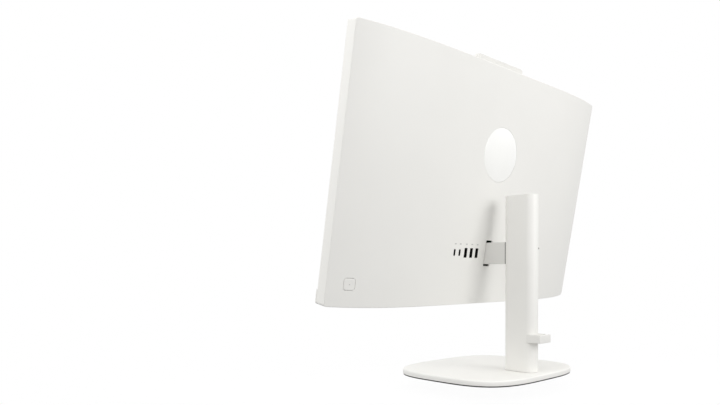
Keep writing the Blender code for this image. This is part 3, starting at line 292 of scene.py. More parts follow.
def make_finishes():
    """Every finish on the object, by name."""
    made = {}

    # Moulded ABS with a spark-eroded grain: an even warm white with a soft, broad sheen. The real grain is
    # about 0.1 mm and is drawn at 0.6 mm to show.
    shell, tree, shader = material("moulded_white_abs", 0.48, ior=1.53)
    grain(tree, shader, ("EDECE8", "EEEDE9"), 0.6, 0.012)
    made["shell"] = shell

    # The same ABS from a smoother mould, a shade duller, for the cable clip.
    pale, tree, shader = material("moulded_pale_abs", 0.5, ior=1.53)
    grain(tree, shader, ("E4E3DF", "E7E6E2"), 0.6, 0.008)
    made["pale"] = pale

    # The same ABS a shade greyer, for the arm and the camera. On the camera bar the grey is painted shade, since
    # the bar is darker on its shaded side. On the arm it is partly a light grey of its own and partly painted
    # shade from where it sits between the column and the head.
    arm, tree, shader = material("moulded_grey_abs_with_painted_shade", 0.5, ior=1.53)
    grain(tree, shader, ("E0DFDB", "E3E2DE"), 0.6, 0.012)
    made["arm"] = arm

    # Polished ABS: the same white without grain, so that it mirrors the light.
    badge, tree, shader = material("polished_white_abs", 0.16, ior=1.53, Coat_Weight=0.5, Coat_Roughness=0.05)
    grain(tree, shader, ("FAFAF7", "FCFCFA"), 8.0, 0.004)
    made["badge"] = badge

    # Powder-coated steel: matt white with the faint orange peel of melted powder, 1.2 mm across.
    coat, tree, shader = material("powder_coated_steel", 0.5, ior=1.5)
    grain(tree, shader, ("ECEBE7", "EEEDE9"), 1.2, 0.02)
    made["base"] = coat

    # Moulded black polycarbonate: satin, with a grain that catches light on its edges.
    black, tree, shader = material("moulded_black_polycarbonate", 0.45, ior=1.58)
    grain(tree, shader, ("151516", "1B1B1C"), 0.5, 0.015, 20.0)
    made["black"] = black

    # Moulded grey polycarbonate of the light box behind the screen.
    grey, tree, shader = material("moulded_grey_polycarbonate", 0.5, ior=1.58)
    grain(tree, shader, ("9A9A9A", "A2A2A2"), 0.6, 0.01)
    made["grey"] = grey

    # Anti-glare glass: near black, its etched face blurs what it mirrors.
    glass, tree, shader = material("etched_display_glass", 0.22, ior=1.52, Coat_Weight=0.3,
                                   Coat_Roughness=0.3)
    grain(tree, shader, ("08080A", "0B0B0D"), 0.4, 0.002)
    made["glass"] = glass

    # Coated optical glass of the camera: black with a bluish gloss.
    lens, tree, shader = material("coated_lens_glass", 0.04, ior=1.6, Coat_Weight=1.0, Coat_Roughness=0.02)
    grain(tree, shader, ("050608", "07080C"), 3.0, 0.001, 3.0)
    made["lens"] = lens

    # Moulded silicone rubber: dark grey and dull, with a stippled face.
    rubber, tree, shader = material("stippled_silicone_rubber", 0.85, ior=1.41)
    grain(tree, shader, ("3B3B3B", "444443"), 1.0, 0.05, 15.0)
    made["rubber"] = rubber

    # Zinc-plated steel: grey with a rolled drift of tone.
    zinc, tree, shader = material("zinc_plated_steel", 0.35, 1.0)
    grain(tree, shader, ("B4B5B6", "C2C3C3"), 0.8, 0.004, 12.0)
    made["steel"] = zinc

    # Nickel-plated spring steel: warmer and brighter than zinc.
    nickel, tree, shader = material("nickel_plated_steel", 0.28, 1.0)
    grain(tree, shader, ("C2BFB8", "CDCAC3"), 0.5, 0.003, 6.0)
    made["nickel"] = nickel

    # The same steel drawn near black for the socket shells, with a faint metal gleam: painted shade of the insides
    # of the socket mouths.
    dark, tree, shader = material("nickel_steel_in_painted_shade", 0.5, 1.0)
    grain(tree, shader, ("141414", "1A1A19"), 0.5, 0.003, 6.0)
    made["dark_nickel"] = dark

    # Extruded aluminium of the fins.
    fins, tree, shader = material("extruded_aluminium", 0.38, 1.0)
    grain(tree, shader, ("D6D7D8", "E0E0E1"), 0.5, 0.004, 10.0)
    made["aluminium"] = fins

    # Bare copper, slightly browned.
    copper, tree, shader = material("bare_copper", 0.32, 1.0)
    grain(tree, shader, ("C77B58", "DA8F68"), 0.7, 0.004, 9.0)
    made["copper"] = copper

    # Solder-masked glass-fibre board: green lacquer over copper tracks about 1.5 mm apart.
    board, tree, shader = material("solder_masked_board", 0.35, ior=1.5)
    grain(tree, shader, ("0E3A26", "145033"), 1.5, 0.03, 3.0, 0.0)
    made["board"] = board

    # Gold-flashed contact springs.
    gold, tree, shader = material("gold_flashed_contacts", 0.25, 1.0)
    grain(tree, shader, ("D9B45A", "E6C56C"), 0.4, 0.002, 4.0)
    made["gold"] = gold

    # Pad-printed grey ink of the marks over the sockets.
    ink, tree, shader = material("pad_printed_grey_ink", 0.6)
    grain(tree, shader, ("C4C3C0", "CCCBC8"), 0.4, 0.004, 5.0)
    made["ink"] = ink
    return made


def arc(centre, radius, start, end, steps=ROUND_STEPS):
    """Points along an arc, both ends included."""
    turns = [start + (end - start) * step / steps for step in range(steps + 1)]
    return [(centre[0] + radius * cos(turn), centre[1] + radius * sin(turn)) for turn in turns]


def circle(centre, radius, sides=64):
    return arc(centre, radius, 0, 2 * pi * (sides - 1) / sides, sides - 1)


def rounded_rectangle(low, high, radius, steps=ROUND_STEPS):
    points = []
    corners = ((high[0], high[1]), (low[0], high[1]), (low[0], low[1]), (high[0], low[1]))
    for quarter, (x, y) in enumerate(corners):
        centre = (x - radius if x == high[0] else x + radius, y - radius if y == high[1] else y + radius)
        points += arc(centre, radius, quarter * pi / 2, (quarter + 1) * pi / 2, steps)
    return points


def drawn_in(low, high, radius, steps=ROUND_STEPS):
    """A rounded rectangle that draws in by an inset and keeps its corner radius."""
    def outline(inset):
        return rounded_rectangle((low[0] + inset, low[1] + inset), (high[0] - inset, high[1] - inset),
                                 radius, steps)
    return outline


def stadium(centre, width, depth, steps=2 * ROUND_STEPS):
    """An outline with two half-round ends, long in its second direction."""
    reach = (depth - width) / 2
    ends = arc((centre[0], centre[1] + reach), width / 2, 0, pi, steps)
    return ends + arc((centre[0], centre[1] - reach), width / 2, pi, 2 * pi, steps)


def superellipse(width, depth, power, sides=256):
    points = []
    for step in range(sides):
        across = cos(2 * pi * step / sides)
        along = sin(2 * pi * step / sides)
        x = width / 2 * (1 if across >= 0 else -1) * abs(across) ** (2 / power)
        y = depth / 2 * (1 if along >= 0 else -1) * abs(along) ** (2 / power)
        points.append((x, y))
    return points


def lay(axis, outline, level):
    """A flat outline set at a level along an axis, as points in space."""
    if axis == "Z":
        return [(first, second, level) for first, second in outline]
    if axis == "Y":
        return [(first, level, second) for first, second in outline]
    return [(level, first, second) for first, second in outline]


def loft(rings, capped=True):
    """A skin over closed rings of equal count, with a flat face on each end, or joined end to end."""
    shape = bmesh.new()
    lines = [[shape.verts.new(point) for point in ring] for ring in rings]
    count = len(lines[0])
    pairs = list(zip(lines, lines[1:]))
    if capped:
        shape.faces.new(lines[0])
        shape.faces.new(lines[-1])
    else:
        pairs.append((lines[-1], lines[0]))
    for lower, upper in pairs:
        for step in range(count):
            after = (step + 1) % count
            shape.faces.new((lower[step], lower[after], upper[after], upper[step]))
    bmesh.ops.recalc_face_normals(shape, faces=shape.faces)
    return shape


def edge_run(low, high, radius, steps=EDGE_STEPS):
    """(inset, level) pairs that round both ends of a bar from one level to another."""
    turns = [pi / 2 * step / steps for step in range(steps + 1)]
    first = [(radius * (1 - sin(turn)), low + radius * (1 - cos(turn))) for turn in turns]
    return first + [(inset, high + low - level) for inset, level in reversed(first)]


def bar(axis, outline, low, high, radius):
    """A solid bar with rounded ends; outline(inset) gives its section drawn in by an amount."""
    return loft([lay(axis, outline(inset), level) for inset, level in edge_run(low, high, radius)])


def block(low, high, radius):
    """A box with every edge softened."""
    shape = bmesh.new()
    low = Vector(low)
    high = Vector(high)
    size = Matrix.Diagonal((*(high - low), 1))
    bmesh.ops.create_cube(shape, size=1, matrix=Matrix.Translation((low + high) / 2) @ size)
    if radius:
        bmesh.ops.bevel(shape, geom=shape.edges[:], offset=radius, segments=3, profile=0.5, affect="EDGES")
    return shape


def merged(*shapes):
    whole = bmesh.new()
    for shape in shapes:
        mesh = bpy.data.meshes.new("merged")
        shape.to_mesh(mesh)
        shape.free()
        whole.from_mesh(mesh)
        bpy.data.meshes.remove(mesh)
    return whole


def loose_object(name, shape):
    mesh = bpy.data.meshes.new(name)
    shape.to_mesh(mesh)
    shape.free()
    made = bpy.data.objects.new(name, mesh)
    bpy.context.scene.collection.objects.link(made)
    return made


def settled(made):
    """The mesh of an object with its modifiers applied; the object is taken away."""
    bpy.context.view_layer.update()
    graph = bpy.context.evaluated_depsgraph_get()
    mesh = bpy.data.meshes.new_from_object(made.evaluated_get(graph))
    bpy.data.objects.remove(made)
    shape = bmesh.new()
    shape.from_mesh(mesh)
    bpy.data.meshes.remove(mesh)
    return shape


def carved(shape, *cuts, operation="DIFFERENCE"):
    """A solid with others cut out of it, one after another."""
    made = loose_object("carved", shape)
    tools = [loose_object("cut", cut) for cut in cuts]
    for tool in tools:
        modifier = made.modifiers.new("Cut", "BOOLEAN")
        modifier.operation = operation
        modifier.solver = "EXACT"
        modifier.object = tool
    result = settled(made)
    for tool in tools:
        bpy.data.objects.remove(tool)
    return result


def row_tree():
    """Geometry Nodes: copies of a shape in a straight row."""
    tree = bpy.data.node_groups.new("row_of_copies", "GeometryNodeTree")
    kinds = {"Shape": "Geometry", "Count": "Int", "Step": "Vector", "Finish": "Material"}
    for name, kind in kinds.items():
        tree.interface.new_socket(name, in_out="INPUT", socket_type="NodeSocket" + kind)
    tree.interface.new_socket("Row", in_out="OUTPUT", socket_type="NodeSocketGeometry")
    given = add_node(tree, "NodeGroupInput").outputs
    line = add_node(tree, "GeometryNodeMeshLine", links={"Count": given["Count"], "Offset": given["Step"]})
    copies = add_node(tree, "GeometryNodeInstanceOnPoints",
                      links={"Points": line.outputs["Mesh"], "Instance": given["Shape"]})
    real = add_node(tree, "GeometryNodeRealizeInstances", links={"Geometry": copies.outputs["Instances"]})
    painted = add_node(tree, "GeometryNodeSetMaterial",
                       links={"Geometry": real.outputs["Geometry"], "Material": given["Finish"]})
    add_node(tree, "NodeGroupOutput", links={"Row": painted.outputs["Geometry"]})
    return tree


def row(shape, count, step, finish):
    """A shape repeated in a row, as one shape."""
    made = loose_object("row", shape)
    modifier = made.modifiers.new("Row", "NODES")
    modifier.node_group = rows
    values = {"Count": count, "Step": Vector(step), "Finish": finish}
    for socket in rows.interface.items_tree:
        if socket.name in values:
            modifier[socket.identifier] = values[socket.name]
    return settled(made)


def piece(name, shape, finish, body, stands_for=(), place=UPRIGHT, crease=PIECE_CREASE):
    """A finished piece of the object: put in place, given its finish, shaded and joined to its body, with the
    parts that it stands for hidden.
    """
    bmesh.ops.transform(shape, matrix=place, verts=shape.verts)
    made = loose_object(name, shape)
    made.data.materials.clear()
    made.data.materials.append(finish)
    made.data.shade_smooth()
    made.data.set_sharp_from_angle(angle=crease)
    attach(made, body)
    if stands_for:
        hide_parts(*stands_for)
    return made


def cover_depth(x, z):
    """How far the rear cover's outer face lies behind the front edge."""
    bulge = BULGE_BOTTOM + (BULGE_TOP - BULGE_BOTTOM) * z / HEAD_HEIGHT
    return EDGE_DEPTH + bulge * (1 - abs(2 * x / HEAD_WIDTH) ** BULGE_POWER)


def cover_normal(x, z):
    """The way the rear cover's outer face looks at a place on it."""
    share = abs(2 * x / HEAD_WIDTH)
    bulge = BULGE_BOTTOM + (BULGE_TOP - BULGE_BOTTOM) * z / HEAD_HEIGHT
    slope_x = -bulge * BULGE_POWER * share ** (BULGE_POWER - 1) * (2 if x > 0 else -2) / HEAD_WIDTH
    slope_z = (BULGE_TOP - BULGE_BOTTOM) / HEAD_HEIGHT * (1 - share ** BULGE_POWER)
    return Vector((-slope_x, 1, -slope_z)).normalized()


def shade_cover(cover):
    """Shades the cover's broad rear face by its own curve, whatever openings are cut through it."""
    mesh = cover.data
    upright = LEAN.inverted()
    turn = LEAN.to_3x3()
    places = [upright @ vertex.co for vertex in mesh.vertices]
    on_face = [abs(place.y - cover_depth(place.x, place.z)) < FACE_TOLERANCE for place in places]
    normals = [corner.vector.copy() for corner in mesh.corner_normals]
    for face in mesh.polygons:
        if all(on_face[vertex] for vertex in face.vertices):
            for corner, vertex in zip(face.loop_indices, face.vertices):
                normals[corner] = turn @ cover_normal(places[vertex].x, places[vertex].z)
    mesh.normals_split_custom_set(normals)


def head_outline(inset):
    """The head's rounded outline: along the bottom from the left, then back along the top."""
    corner = CORNER_RADIUS - inset
    straight = HEAD_WIDTH / 2 - CORNER_RADIUS
    left = arc((-straight, CORNER_RADIUS), corner, pi, 3 * pi / 2)
    right = arc((straight, CORNER_RADIUS), corner, 3 * pi / 2, 2 * pi)
    turns = [pi * (step / COVER_COLUMNS - 0.5) for step in range(1, COVER_COLUMNS)]
    bottom = left + [(straight * sin(turn), inset) for turn in turns] + right
    return bottom + [(x, HEAD_HEIGHT - z) for x, z in reversed(bottom)]


def cover_skin():
    """The cover's closed wall: out over the sides, round the rear rim and back along the inside."""
    rings = []
    for inset, level in edge_run(0, 2 * FRONT_EDGE_RADIUS, FRONT_EDGE_RADIUS)[:EDGE_STEPS + 1]:
        rings.append(lay("Y", head_outline(inset), level))
    for wall, order in ((0, 1), (SHELL_WALL, -1)):
        run = []
        for step in range(EDGE_STEPS + 1):
            turn = pi / 2 * step / EDGE_STEPS
            outline = head_outline(wall + REAR_EDGE_RADIUS * (1 - cos(turn)))
            rise = wall + REAR_EDGE_RADIUS * (1 - sin(turn))
            run.append([(x, cover_depth(x, z) - rise, z) for x, z in outline])
        rings.extend(run[::order])
    rings.append(lay("Y", head_outline(SHELL_WALL), FRONT_EDGE_RADIUS))
    rings.append(lay("Y", head_outline(SHELL_WALL - FRONT_EDGE_RADIUS), 0))
    shape = bmesh.new()
    lines = [[shape.verts.new(point) for point in ring] for ring in rings]
    count = len(lines[0])
    outer_end = 2 * EDGE_STEPS + 1
    for number, (lower, upper) in enumerate(zip(lines, lines[1:] + lines[:1])):
        if number == outer_end:
            continue
        for step in range(count):
            after = (step + 1) % count
            shape.faces.new((lower[step], lower[after], upper[after], upper[step]))
    for line in (lines[outer_end], lines[outer_end + 1]):
        for step in range(count // 2 - 1):
            shape.faces.new((line[step], line[step + 1], line[-2 - step], line[-1 - step]))
    bmesh.ops.recalc_face_normals(shape, faces=shape.faces)
    return shape


def on_cover(outline, *levels, capped=True):
    """A solid through an outline drawn on the cover: (inset, offset from the outer face) at each level."""
    rings = []
    for inset, offset in levels:
        rings.append([(x, cover_depth(x, z) + offset, z) for x, z in outline(inset)])
    return loft(rings, capped)


def port_outline(place, size, radius):
    """A socket mouth's outline, which grows by a negative inset."""
    def outline(inset):
        half_x = size[0] / 2 + PORT_GAP - inset
        half_z = size[1] / 2 + PORT_GAP - inset
        return rounded_rectangle((place - half_x, PORT_LEVEL - half_z), (place + half_x, PORT_LEVEL + half_z),
                                 min(radius, half_x - LEAST_STRAIGHT), CORNER_STEPS)
    return outline


def socket_outlines():
    """The mouth outline of every angular socket, by the socket's name."""
    kinds = (("usb_a", USB_A_PLACES, USB_A_SIZE, USB_A_CORNER),
             ("usb_c", USB_C_PLACES, USB_C_SIZE, USB_C_CORNER),
             ("network", (NETWORK_PLACE,), NETWORK_SIZE, NETWORK_CORNER),
             ("video", (VIDEO_PLACE,), VIDEO_SIZE, VIDEO_CORNER))
    outlines = {}
    for name, places, size, corner in kinds:
        for number, place in enumerate(places, 1):
            outlines["%s_%d" % (name, number)] = port_outline(place, size, corner)
    return outlines


def round_port(place, radius):
    return lambda inset: circle((place, PORT_LEVEL), radius - inset, PORT_SIDES)


def button_outline(grow):
    half_x = BUTTON_SIZE[0] / 2 + grow
    half_z = BUTTON_SIZE[1] / 2 + grow
    x, z = BUTTON_PLACE
    return rounded_rectangle((x - half_x, z - half_z), (x + half_x, z + half_z), BUTTON_RADIUS + grow)


def badge_outline(inset):
    return circle((0, BADGE_HEIGHT), BADGE_RADIUS - inset, BADGE_SIDES)


def make_cover():
    """The rear cover with its openings for sockets, button, arm, badge, camera and air."""
    mouth = ((0, -3 * SHELL_WALL), (0, -PORT_CHAMFER), (-2 * PORT_CHAMFER, PORT_CHAMFER))
    cuts = [on_cover(outline, *mouth) for outline in socket_outlines().values()]
    cuts.append(on_cover(round_port(AUDIO_PLACE, AUDIO_RADIUS), *mouth))
    cuts.append(on_cover(round_port(POWER_PLACE, POWER_RADIUS), *mouth))
    cuts.append(on_cover(lambda inset: button_outline(-inset), *mouth))
    depth = cover_depth(0, PIVOT_HEIGHT)
    slot = rounded_rectangle((-ARM_SLOT_HALF_WIDTH, ARM_SLOT_LOW), (ARM_SLOT_HALF_WIDTH, ARM_SLOT_HIGH),
                             ARM_SLOT_CORNER, SLIGHT_STEPS)
    cuts.append(loft([lay("Y", slot, depth - 3 * SHELL_WALL), lay("Y", slot, depth + SHELL_WALL)]))
    cuts.append(on_cover(badge_outline, (0, -BADGE_DEPTH), (0, SHELL_WALL)))
    side, front, rear = CAMERA_HOLE
    cuts.append(block((-side, front, HEAD_HEIGHT - 2 * SHELL_WALL),
                      (side, rear, HEAD_HEIGHT + SHELL_WALL), 0))
    for level in (0, HEAD_HEIGHT):
        middle = (-VENT_PITCH * (VENT_COUNT - 1) / 2, VENT_FRONT + VENT_LENGTH / 2)
        vent = stadium(middle, VENT_WIDTH, VENT_LENGTH, VENT_STEPS)
        slit = loft([lay("Z", vent, level - 2 * SHELL_WALL), lay("Z", vent, level + 2 * SHELL_WALL)])
        cuts.append(row(slit, VENT_COUNT, (VENT_PITCH, 0, 0), finishes["shell"]))
    cover = piece("cover_shell", carved(cover_skin(), *cuts), finishes["shell"], "head",
                  ["rear_cover"], LEAN, COVER_CREASE)
    shade_cover(cover)


def make_badge():
    """The plain round plate let into the cover."""
    disc = on_cover(lambda inset: badge_outline(BADGE_GAP + inset), *BADGE_RIM)
    piece("badge_disc", disc, finishes["badge"], "head", ["badge_plate"], LEAN)


def make_button():
    """The power button's dished cap and the small light in its middle."""
    cap = on_cover(lambda inset: button_outline(-BUTTON_GAP - inset), *BUTTON_RIM)
    piece("button_cap", cap, finishes["shell"], "button", ["power_button"], LEAN)
    dot = on_cover(lambda inset: circle(BUTTON_PLACE, BUTTON_LIGHT - inset, SMALL_SIDES), *BUTTON_LIGHT_RIM)
    piece("button_light", dot, finishes["ink"], "button", place=LEAN)


def socket_mouth(place, size):
    """The depth at which a socket's mouth stands behind the cover's wall."""
    return cover_depth(place, PORT_LEVEL + size[1]) - SHELL_WALL - 2 * PORT_GAP


def make_tongue(name, place, size, tongue, offset, contacts, pitch):
    """A socket's moulded tongue with its row of contact springs."""
    front = socket_mouth(place, size) - PORT_DEPTH
    rear = front + PORT_DEPTH - TONGUE_SETBACK
    middle = place + offset
    half = Vector(tongue) / 2
    plate = block((middle - half.x, front, PORT_LEVEL - half.y),
                  (middle + half.x, rear, PORT_LEVEL + half.y), TONGUE_EDGE)
    piece(name + "_tongue", plate, finishes["black"], "head", place=LEAN)
    first = PORT_LEVEL - pitch * (contacts - 1) / 2
    face = middle + half.x
    strip = block((face - CONTACT_PROUD, front, first - pitch / 4),
                  (face + CONTACT_PROUD, rear - TONGUE_SETBACK, first + pitch / 4), 0)
    springs = row(strip, contacts, (0, 0, pitch), finishes["gold"])
    piece(name + "_contacts", springs, finishes["gold"], "head", place=LEAN)


def make_round_socket(name, node, place, bore, pin):
    """A round socket: a moulded block with a flared bore, and a centre pin where it has one."""
    low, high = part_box(node)
    size = (high.x - low.x, high.x - low.x)
    mouth = socket_mouth(place, size)
    half = size[0] / 2
    front = mouth - PORT_DEPTH - half / 2
    corner = half / 4
    section = drawn_in((place - half, PORT_LEVEL - half), (place + half, PORT_LEVEL + half), corner)
    body = bar("Y", section, front, mouth, corner / 2)
    flare = ((bore, mouth - PORT_DEPTH), (bore, mouth - PORT_CHAMFER),
             (bore + 2 * PORT_CHAMFER, mouth + PORT_CHAMFER))
    hole = loft([lay("Y", circle((place, PORT_LEVEL), radius), depth) for radius, depth in flare])
    shape = carved(body, hole)
    if pin:
        stem = bar("Y", lambda inset: circle((place, PORT_LEVEL), pin - inset, SMALL_SIDES),
                   mouth - PORT_DEPTH - pin, mouth - TONGUE_SETBACK, pin * PIN_ROUNDING)
        piece(name + "_pin", stem, finishes["nickel"], "head", place=LEAN)
    piece(name, shape, finishes["black"], "head", [node], LEAN)


def make_sockets():
    """What shows in the socket mouths: tongues with contacts, black linings of the mouth walls as painted shade,
    and the round sockets.
    """
    for number, place in enumerate(USB_A_PLACES, 1):
        make_tongue("usb_a_%d" % number, place, USB_A_SIZE, *USB_A_TONGUE)
    for number, place in enumerate(USB_C_PLACES, 1):
        make_tongue("usb_c_%d" % number, place, USB_C_SIZE, *USB_C_TONGUE)
    make_tongue("video", VIDEO_PLACE, VIDEO_SIZE, *VIDEO_TONGUE)
    make_tongue("network", NETWORK_PLACE, NETWORK_SIZE, *NETWORK_TONGUE)
    # Black linings over the cut walls of each mouth: painted shade inside the socket mouths.
    for name, outline in socket_outlines().items():
        inner = SHADE_LINING_WALL + INK_THICKNESS
        shade_lining = on_cover(outline, (INK_THICKNESS, -SHELL_WALL), (INK_THICKNESS, -PORT_CHAMFER),
                          (inner, -PORT_CHAMFER), (inner, -SHELL_WALL), capped=False)
        piece(name + "_shade_lining", shade_lining, finishes["black"], "head", place=LEAN)
    make_round_socket("audio_jack", "audio_socket", AUDIO_PLACE, AUDIO_BORE, 0)
    make_round_socket("power_jack", "power_inlet", POWER_PLACE, POWER_BORE, POWER_PIN)


def make_marks():
    """Plain printed marks: pills over the sockets and a dot over the power socket."""
    runs = ((USB_A_PLACES[0], USB_A_PLACES[1] - USB_A_PLACES[0], len(USB_A_PLACES)),
            (USB_C_PLACES[0], USB_C_PLACES[1] - USB_C_PLACES[0], len(USB_C_PLACES)))
    half_x = MARK_SIZE[0] / 2
    half_z = MARK_SIZE[1] / 2
    shapes = []
    for first, pitch, count in runs:
        pill = rounded_rectangle((first - half_x, MARK_LEVEL - half_z), (first + half_x, MARK_LEVEL + half_z),
                                 half_z - LEAST_STRAIGHT, SLIGHT_STEPS)
        print_of_pill = on_cover(lambda inset: pill, *INK_LEVELS)
        shapes.append(row(print_of_pill, count, (pitch, 0, 0), finishes["ink"]))
    piece("socket_marks", merged(*shapes), finishes["ink"], "head", place=LEAN)
    dot = on_cover(lambda inset: circle(POWER_MARK_PLACE, POWER_MARK_RADIUS, SMALL_SIDES), *INK_LEVELS)
    piece("power_mark", dot, finishes["black"], "head", place=LEAN)


def make_camera_bar():
    """The camera's blade on its barrel, with a lens in front and two holes for the microphones."""
    bar_low, bar_high = CAMERA_DEPTH
    half = CAMERA_WIDTH / 2
    top = HEAD_HEIGHT + CAMERA_RISE

    def section(inset):
        return rounded_rectangle((-half + inset, CAMERA_AXIS[1]), (half - inset, top - inset),
                                 CAMERA_CORNER - inset)

    blade = bar("Y", section, bar_low, bar_high, CAMERA_EDGE)
    barrel = bar("X", lambda inset: circle(CAMERA_AXIS, CAMERA_BARREL - inset), -half, half, CAMERA_EDGE / 4)
    lens_level = HEAD_HEIGHT + CAMERA_RISE / 2
    recess = loft([lay("Y", circle((0, lens_level), LENS_RADIUS + gap), bar_low + depth)
                   for gap, depth in LENS_SEAT])
    ear = loft([lay("Y", circle((-MIC_PLACE, lens_level), MIC_RADIUS, MIC_SIDES), depth)
                for depth in (bar_low - MIC_RADIUS, bar_low + 3 * MIC_RADIUS)])
    ears = row(ear, 2, (2 * MIC_PLACE, 0, 0), finishes["shell"])
    shape = carved(carved(blade, barrel, operation="UNION"), recess, ears)
    # The camera body takes the grey finish as painted shade of the bar's shaded side.
    piece("camera_body", shape, finishes["arm"], "camera", ["camera_bar"], LEAN)
    dome = loft([lay("Y", circle((0, lens_level), LENS_RADIUS * share), bar_low + depth)
                 for share, depth in LENS_FACE])
    piece("camera_window", dome, finishes["lens"], "camera", ["camera_lens"], LEAN)


def chin_outline(inset):
    half = HEAD_WIDTH / 2
    straight = half - CORNER_RADIUS
    points = [(half - inset, CHIN_HEIGHT - inset), (-half + inset, CHIN_HEIGHT - inset)]
    points += arc((-straight, CORNER_RADIUS), CORNER_RADIUS - inset, pi, 3 * pi / 2)
    return points + arc((straight, CORNER_RADIUS), CORNER_RADIUS - inset, 3 * pi / 2, 2 * pi)


def make_chin():
    """The bar along the front's lower edge, with the lip that it seats by."""
    face = bar("Y", chin_outline, -CHIN_PROUD, -PORT_GAP, CHIN_EDGE)
    seat = drawn_in((-RIM_HALF, SHELL_WALL + PORT_GAP), (RIM_HALF, CHIN_HEIGHT), RIM_CORNER)
    lip = bar("Y", seat, -CHIN_PROUD / 2, CHIN_LIP, CHIN_EDGE / 2)
    piece("chin_shell", carved(face, lip, operation="UNION"), finishes["shell"], "head",
          ["chin_bar"], LEAN)


def make_bezel():
    """The black frame round the screen."""
    outer = drawn_in((-RIM_HALF, CHIN_HEIGHT + PORT_GAP), (RIM_HALF, RIM_TOP), RIM_CORNER)
    half = SCREEN_SIZE[0] / 2
    top = RIM_TOP - SCREEN_TOP_BORDER
    window = drawn_in((-half, top - SCREEN_SIZE[1]), (half, top), WINDOW_CORNER)
    lip_rear = BEZEL_FRONT + BEZEL_LIP
    edge_rear = BEZEL_FRONT + BEZEL_EDGE
    run = ((outer(BEZEL_EDGE), BEZEL_FRONT), (outer(0), edge_rear), (outer(0), BEZEL_REAR),
           (outer(BEZEL_WALL), BEZEL_REAR), (outer(BEZEL_WALL), lip_rear),
           (window(0), lip_rear), (window(0), edge_rear), (window(-BEZEL_EDGE), BEZEL_FRONT))
    rings = [lay("Y", outline, level) for outline, level in run]
    piece("bezel_face", loft(rings, capped=False), finishes["black"], "head",
          ["bezel_frame"], LEAN)


def leaned_end(outline, level):
    """The arm's front end, cut to the lean of the cover so that its whole side reaches into the slot."""
    top = max(z for x, z in outline)
    return [(x, level - (top - z) * tan(TILT), z) for x, z in outline]


def make_column():
    """The hollow column with its lid, and the hole that the arm passes through."""
    low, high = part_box("stand_column")
    middle = (0, (low.y + high.y) / 2)
    width = high.x - low.x
    depth = high.y - low.y

    def section(inset):
        return stadium(middle, width - 2 * inset, depth - 2 * inset, 4 * ROUND_STEPS)

    run = edge_run(low.z, high.z, COLUMN_EDGE)
    run += [(COLUMN_WALL - COLUMN_EDGE, high.z), (COLUMN_WALL, high.z - COLUMN_EDGE), (COLUMN_WALL, low.z)]
    rings = [lay("Z", section(inset), level) for inset, level in run]
    sleeve_low, sleeve_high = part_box("arm_sleeve")
    gap = Vector((PORT_GAP, 0, PORT_GAP))
    hole = block(sleeve_low - gap, sleeve_high + gap, SLEEVE_EDGE)
    piece("column_shell", carved(loft(rings, capped=False), hole), finishes["shell"], "stand",
          ["stand_column"])
    low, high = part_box("column_cap")
    lid = bar("Z", lambda inset: section(COLUMN_WALL + PORT_GAP + inset), low.z, high.z, COLUMN_EDGE / 2)
    piece("column_lid", lid, finishes["shell"], "stand", ["column_cap"])


def make_arm():
    """The arm's hollow sleeve, and a dark ring in the rubber finish where it leaves the column, which paints the
    shade of the gap there.
    """
    low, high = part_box("arm_sleeve")
    half = (high - low) / 2
    centre = (low + high) / 2
    sleeve = drawn_in((-half.x, centre.z - half.z), (half.x, centre.z + half.z), SLEEVE_EDGE, CORNER_STEPS)
    run = edge_run(low.y, high.y, SLEEVE_EDGE / 2)
    rings = [leaned_end(sleeve(inset), level) for inset, level in run[:EDGE_STEPS + 1]]
    rings += [lay("Y", sleeve(inset), level) for inset, level in run[EDGE_STEPS + 1:]]
    rings += [lay("Y", sleeve(SLEEVE_WALL), high.y), leaned_end(sleeve(SLEEVE_WALL), low.y)]
    # The arm takes the grey finish: partly its own light grey, partly painted shade from between the column and
    # the head.
    piece("arm_shell", loft(rings, capped=False), finishes["arm"], "stand", ["arm_sleeve"])
    # A dark ring round the arm at the column's face: painted shade of the gap between arm and column.
    gap_shade_rear = GAP_SHADE_FRONT + GAP_SHADE_WIDTH
    run = ((-GAP_SHADE_PROUD, GAP_SHADE_FRONT), (-GAP_SHADE_PROUD, gap_shade_rear), (SLEEVE_WALL / 2, gap_shade_rear),
           (SLEEVE_WALL / 2, GAP_SHADE_FRONT))
    rings = [lay("Y", sleeve(inset), level) for inset, level in run]
    piece("arm_gap_shade", loft(rings, capped=False), finishes["rubber"], "stand")


def make_base():
    """The steel base with its softened edges, and the rubber pad under it."""
    low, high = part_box("base_plate")
    width = high.x - low.x
    depth = high.y - low.y

    def section(inset):
        return superellipse(width - 2 * inset, depth - 2 * inset, BASE_POWER)

    lower = edge_run(low.z, high.z, BASE_FOOT_EDGE)[:EDGE_STEPS + 1]
    upper = edge_run(low.z, high.z, BASE_EDGE)[EDGE_STEPS + 1:]
    rings = [lay("Z", section(inset), level) for inset, level in lower + upper]
    piece("base_shell", loft(rings), finishes["base"], "stand", ["base_plate"])
    low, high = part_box("base_mat")
    pad = bar("Z", lambda inset: section(BASE_FOOT_EDGE + inset), low.z, high.z, BASE_FOOT_EDGE / 2)
    piece("base_pad", pad, finishes["rubber"], "stand", ["base_mat"])


